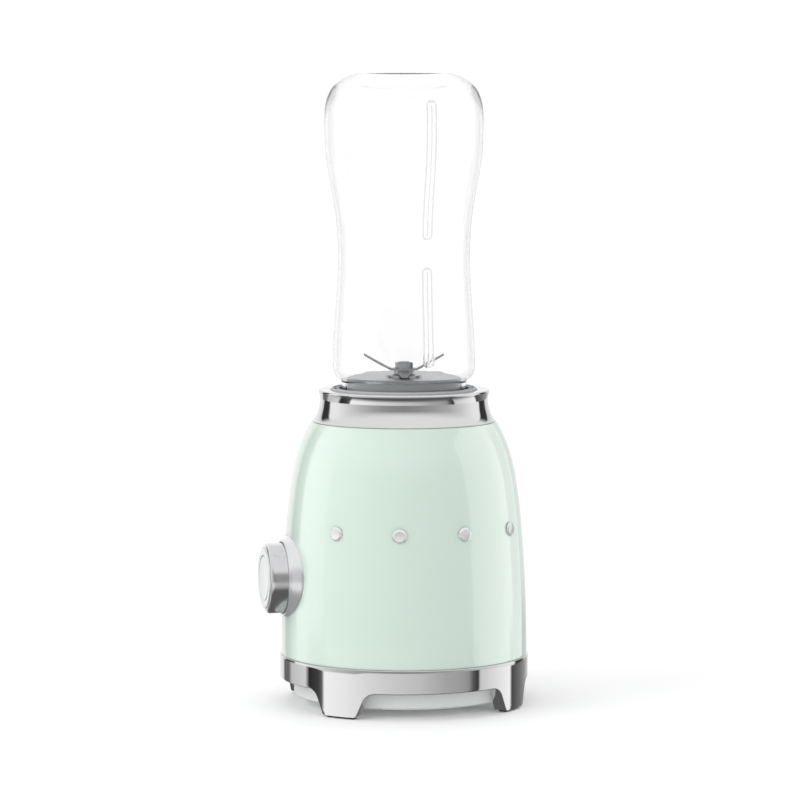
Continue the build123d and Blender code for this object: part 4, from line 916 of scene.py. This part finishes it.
# ------------------------------------------------------------------ studio
@dataclass
class Studio:
    """The pale floor, the soft light and the camera. Lengths are metres.

    Each strip is its name, its heading from the camera, its width and its power. Each bank is a heading
    from the camera in degrees and how bright the tent is there.
    """

    azimuth: float = 76.0
    distance: float = 1.954
    camera_height: float = 0.333
    aim_height: float = 0.1706
    lens: float = 157.0
    sensor: float = 36.0
    floor_radius: float = 4.0
    key_watts: float = 11.0
    strips: tuple[tuple[str, float, float, float], ...] = (
        ("strip_left", -100.0, 1.45, 7.0),
        ("strip_right", 106.0, 3.3, 32.0),
        ("strip_knob", -150.0, 3.0, 4.5),
    )
    high_banks: tuple[tuple[float, float], ...] = (
        (-180, 0.85), (-152, 0.80), (-143, 0.62), (-140, 0.03), (-123, 0.04), (-119, 0.88), (-105, 0.88),
        (-90, 0.76), (-64, 0.52), (-42, 0.37), (-21, 0.28), (0, 0.25), (19, 0.28), (45, 0.36), (61, 0.41),
        (69, 0.47), (86, 0.62), (106, 0.83), (123, 0.88), (126, 0.03), (143, 0.04), (147, 0.62), (180, 0.85),
    )
    low_banks: tuple[tuple[float, float], ...] = (
        (-180, 0.85), (-150, 0.75), (-147, 0.14), (-134, 0.14), (-128, 0.55), (-104, 0.68), (-99, 0.02),
        (-86, 0.05), (-81, 0.14), (-79, 0.96), (-60, 0.90), (-35, 0.75), (-10, 0.64), (15, 0.55), (40, 0.40),
        (55, 0.36), (62, 0.30), (67, 0.10), (73, 0.03), (75, 0.62), (95, 0.80), (116, 0.97), (119, 0.06),
        (135, 0.16), (150, 0.30), (180, 0.85),
    )
    below_level: float = 0.10
    above_level: float = 0.78
    plain_level: float = 0.92
    strength: float = 1.15
    side_shift: float = -0.0022

    def add_banks(self, tree: bpy.types.NodeTree, share: bpy.types.Node,
                  banks: tuple[tuple[float, float], ...]) -> bpy.types.Node:
        """A ramp that reads light banks and dark flags by heading, from -180 behind the left to 180."""
        ramp = add_node(tree, "ShaderNodeValToRGB", None, {"Fac": share.outputs[0]})
        ramp.color_ramp.elements.remove(ramp.color_ramp.elements[0])
        for number, (angle, value) in enumerate(banks):
            place = angle / 360 + 0.5
            stop = ramp.color_ramp.elements[0] if number == 0 else ramp.color_ramp.elements.new(place)
            stop.position = place
            stop.color = (value, value, value, 1)
        return ramp

    def make_floor(self) -> None:
        """A large flat round floor in matte white, left out of mirrored rays so metal shows the tent."""
        turns = np.linspace(0, 2 * math.pi, 96, endpoint=False)
        outline = np.array([[0.0, 0.0], [self.floor_radius / 4, 0.0], [self.floor_radius, 0.0]]) / MM
        grid = carried_round(outline, turns)
        floor = grid_object("studio_floor", grid, False)
        material = bpy.data.materials.new("floor_white_matte")
        material.use_nodes = True
        shader = material.node_tree.nodes["Principled BSDF"]
        shader.inputs["Base Color"].default_value = linear("#FDFDFD")
        shader.inputs["Roughness"].default_value = 0.6
        shader.inputs["Specular IOR Level"].default_value = 0.2
        floor.data.materials.append(material)
        floor.visible_glossy = False
        floor.visible_shadow = False
        if floor.data.polygons[0].normal.z < 0:
            floor.data.flip_normals()

    def make_world(self) -> None:
        """A tent, read by heading: grey by the camera, bright side banks, dark flags, white behind.

        The tent is only what the object mirrors. It has one set of banks for rays that run level or rise and
        one for rays that fall a little, an even grey overhead, and it fades out steeply below. The camera,
        soft light and any ray that has been through clear plastic get plain white.
        """
        world = bpy.data.worlds.new("studio_tent")
        bpy.context.scene.world = world
        world.use_nodes = True
        tree = world.node_tree
        background = tree.nodes["Background"]
        where = add_node(tree, "ShaderNodeTexCoord")
        turned = add_node(
            tree, "ShaderNodeVectorRotate", {"rotation_type": "Z_AXIS"},
            {"Vector": where.outputs["Generated"], "Angle": -math.radians(self.azimuth - 90)},
        )
        split = add_node(tree, "ShaderNodeSeparateXYZ", None, {"Vector": turned.outputs["Vector"]})
        heading = add_node(
            tree, "ShaderNodeMath", {"operation": "ARCTAN2"}, {0: split.outputs["Y"], 1: split.outputs["X"]},
        )
        share = add_node(
            tree, "ShaderNodeMapRange", None,
            {"Value": heading.outputs[0], "From Min": -math.pi, "From Max": math.pi},
        )
        high = self.add_banks(tree, share, self.high_banks)
        low = self.add_banks(tree, share, self.low_banks)
        rise = add_node(
            tree, "ShaderNodeMapRange", None,
            {"Value": split.outputs["Z"], "From Min": -0.14, "From Max": -0.11},
        )
        sides = add_node(
            tree, "ShaderNodeMix", {"data_type": "RGBA"},
            {"Factor": rise.outputs["Result"], MIX_A: low.outputs["Color"], MIX_B: high.outputs["Color"]},
        )
        seen = add_node(tree, "ShaderNodeLightPath")
        mirrored = add_node(
            tree, "ShaderNodeMath", {"operation": "SUBTRACT", "use_clamp": True},
            {0: seen.outputs["Is Glossy Ray"], 1: seen.outputs["Transmission Depth"]},
        )
        below = add_node(
            tree, "ShaderNodeMapRange", {"interpolation_type": "SMOOTHSTEP"},
            {"Value": split.outputs["Z"], "From Min": -0.55, "From Max": -0.3},
        )
        above = add_node(
            tree, "ShaderNodeMapRange", {"interpolation_type": "SMOOTHSTEP"},
            {"Value": split.outputs["Z"], "From Min": 0.25, "From Max": 0.5},
        )
        roof = add_node(
            tree, "ShaderNodeMix", {"data_type": "RGBA"},
            {
                "Factor": above.outputs["Result"],
                MIX_A: sides.outputs[MIX_RESULT],
                MIX_B: (self.above_level, self.above_level, self.above_level, 1),
            },
        )
        tent = add_node(
            tree, "ShaderNodeMix", {"data_type": "RGBA"},
            {
                "Factor": below.outputs["Result"],
                MIX_A: (self.below_level, self.below_level, self.below_level, 1),
                MIX_B: roof.outputs[MIX_RESULT],
            },
        )
        shown = add_node(
            tree, "ShaderNodeMix", {"data_type": "RGBA"},
            {
                "Factor": mirrored.outputs[0],
                MIX_A: (self.plain_level, self.plain_level, self.plain_level, 1),
                MIX_B: tent.outputs[MIX_RESULT],
            },
        )
        tree.links.new(shown.outputs[MIX_RESULT], background.inputs["Color"])
        background.inputs["Strength"].default_value = self.strength

    def add_panel(self, name: str, heading: float, size: tuple[float, float], watts: float,
                  distance: float, height: float) -> bpy.types.Object:
        """A rectangular softbox that faces the object.

        Args:
            name: the light's name.
            heading: where it stands, in degrees to the right of the camera.
            size: its width and height in metres.
            watts: its power.
            distance: how far it stands from the object's axis, in metres.
            height: how high its middle is, in metres.

        Returns:
            The light.
        """
        data = bpy.data.lights.new(name, "AREA")
        data.shape = "RECTANGLE"
        data.size, data.size_y = size
        data.energy = watts
        lamp = bpy.data.objects.new(name, data)
        turn = math.radians(self.azimuth + heading)
        lamp.location = (distance * math.sin(turn), -distance * math.cos(turn), height)
        aim = type(lamp.location)((0, 0, 0.12)) - lamp.location
        lamp.rotation_mode = "QUATERNION"
        lamp.rotation_quaternion = aim.to_track_quat("-Z", "Y")
        bpy.context.collection.objects.link(lamp)
        return lamp

    def make_lights(self) -> None:
        """A soft key on the left for shape, two strips that only gloss the enamel and one for the knob."""
        key = self.add_panel("key_softbox", -62, (1.2, 1.4), self.key_watts, 1.7, 0.9)
        key.visible_glossy = False
        enamel = bpy.data.collections.new("enamel_pieces")
        enamel.objects.link(bpy.data.objects["shell_enamel"])
        knob = bpy.data.collections.new("knob_pieces")
        for name in ("knob_bezel_dished", "knob_body_chromed", "knob_face_disc"):
            knob.objects.link(bpy.data.objects[name])
        for name, heading, width, watts in self.strips:
            strip = self.add_panel(name, heading, (width, 3.0), watts, 2.0, 0.35)
            strip.visible_diffuse = False
            strip.visible_transmission = False
            strip.light_linking.receiver_collection = knob if name == "strip_knob" else enamel

    def make_camera(self) -> None:
        """The camera, a long lens a little above the object, aimed at the middle of its height."""
        data = bpy.data.cameras.new("camera")
        data.lens, data.sensor_width = self.lens, self.sensor
        data.clip_start, data.clip_end = 0.05, 50.0
        camera = bpy.data.objects.new("camera", data)
        turn = math.radians(self.azimuth)
        camera.location = (
            self.distance * math.sin(turn), -self.distance * math.cos(turn), self.camera_height,
        )
        look = (
            math.cos(turn) * self.side_shift - camera.location.x,
            math.sin(turn) * self.side_shift - camera.location.y,
            self.aim_height - camera.location.z,
        )
        camera.rotation_mode = "QUATERNION"
        camera.rotation_quaternion = type(camera.location)(look).to_track_quat("-Z", "Y")
        bpy.context.collection.objects.link(camera)
        bpy.context.scene.camera = camera

    def build(self) -> None:
        """Makes the floor, the light and the camera, and shows plain colours."""
        self.make_floor()
        self.make_world()
        self.make_lights()
        self.make_camera()
        bpy.context.scene.view_settings.view_transform = "Standard"


def main() -> None:
    """Builds the looks in order."""
    logging.basicConfig(level=logging.INFO, format="%(name)s %(message)s")
    paint = Paintbox()
    paint.dress_frame()
    knob = Knob()
    Casing().build(paint, knob.pocket())
    BaseRing().build(paint)
    knob.build(paint)
    Bottle().build(paint)
    Studio().build()


if __name__ == "__main__":
    main()
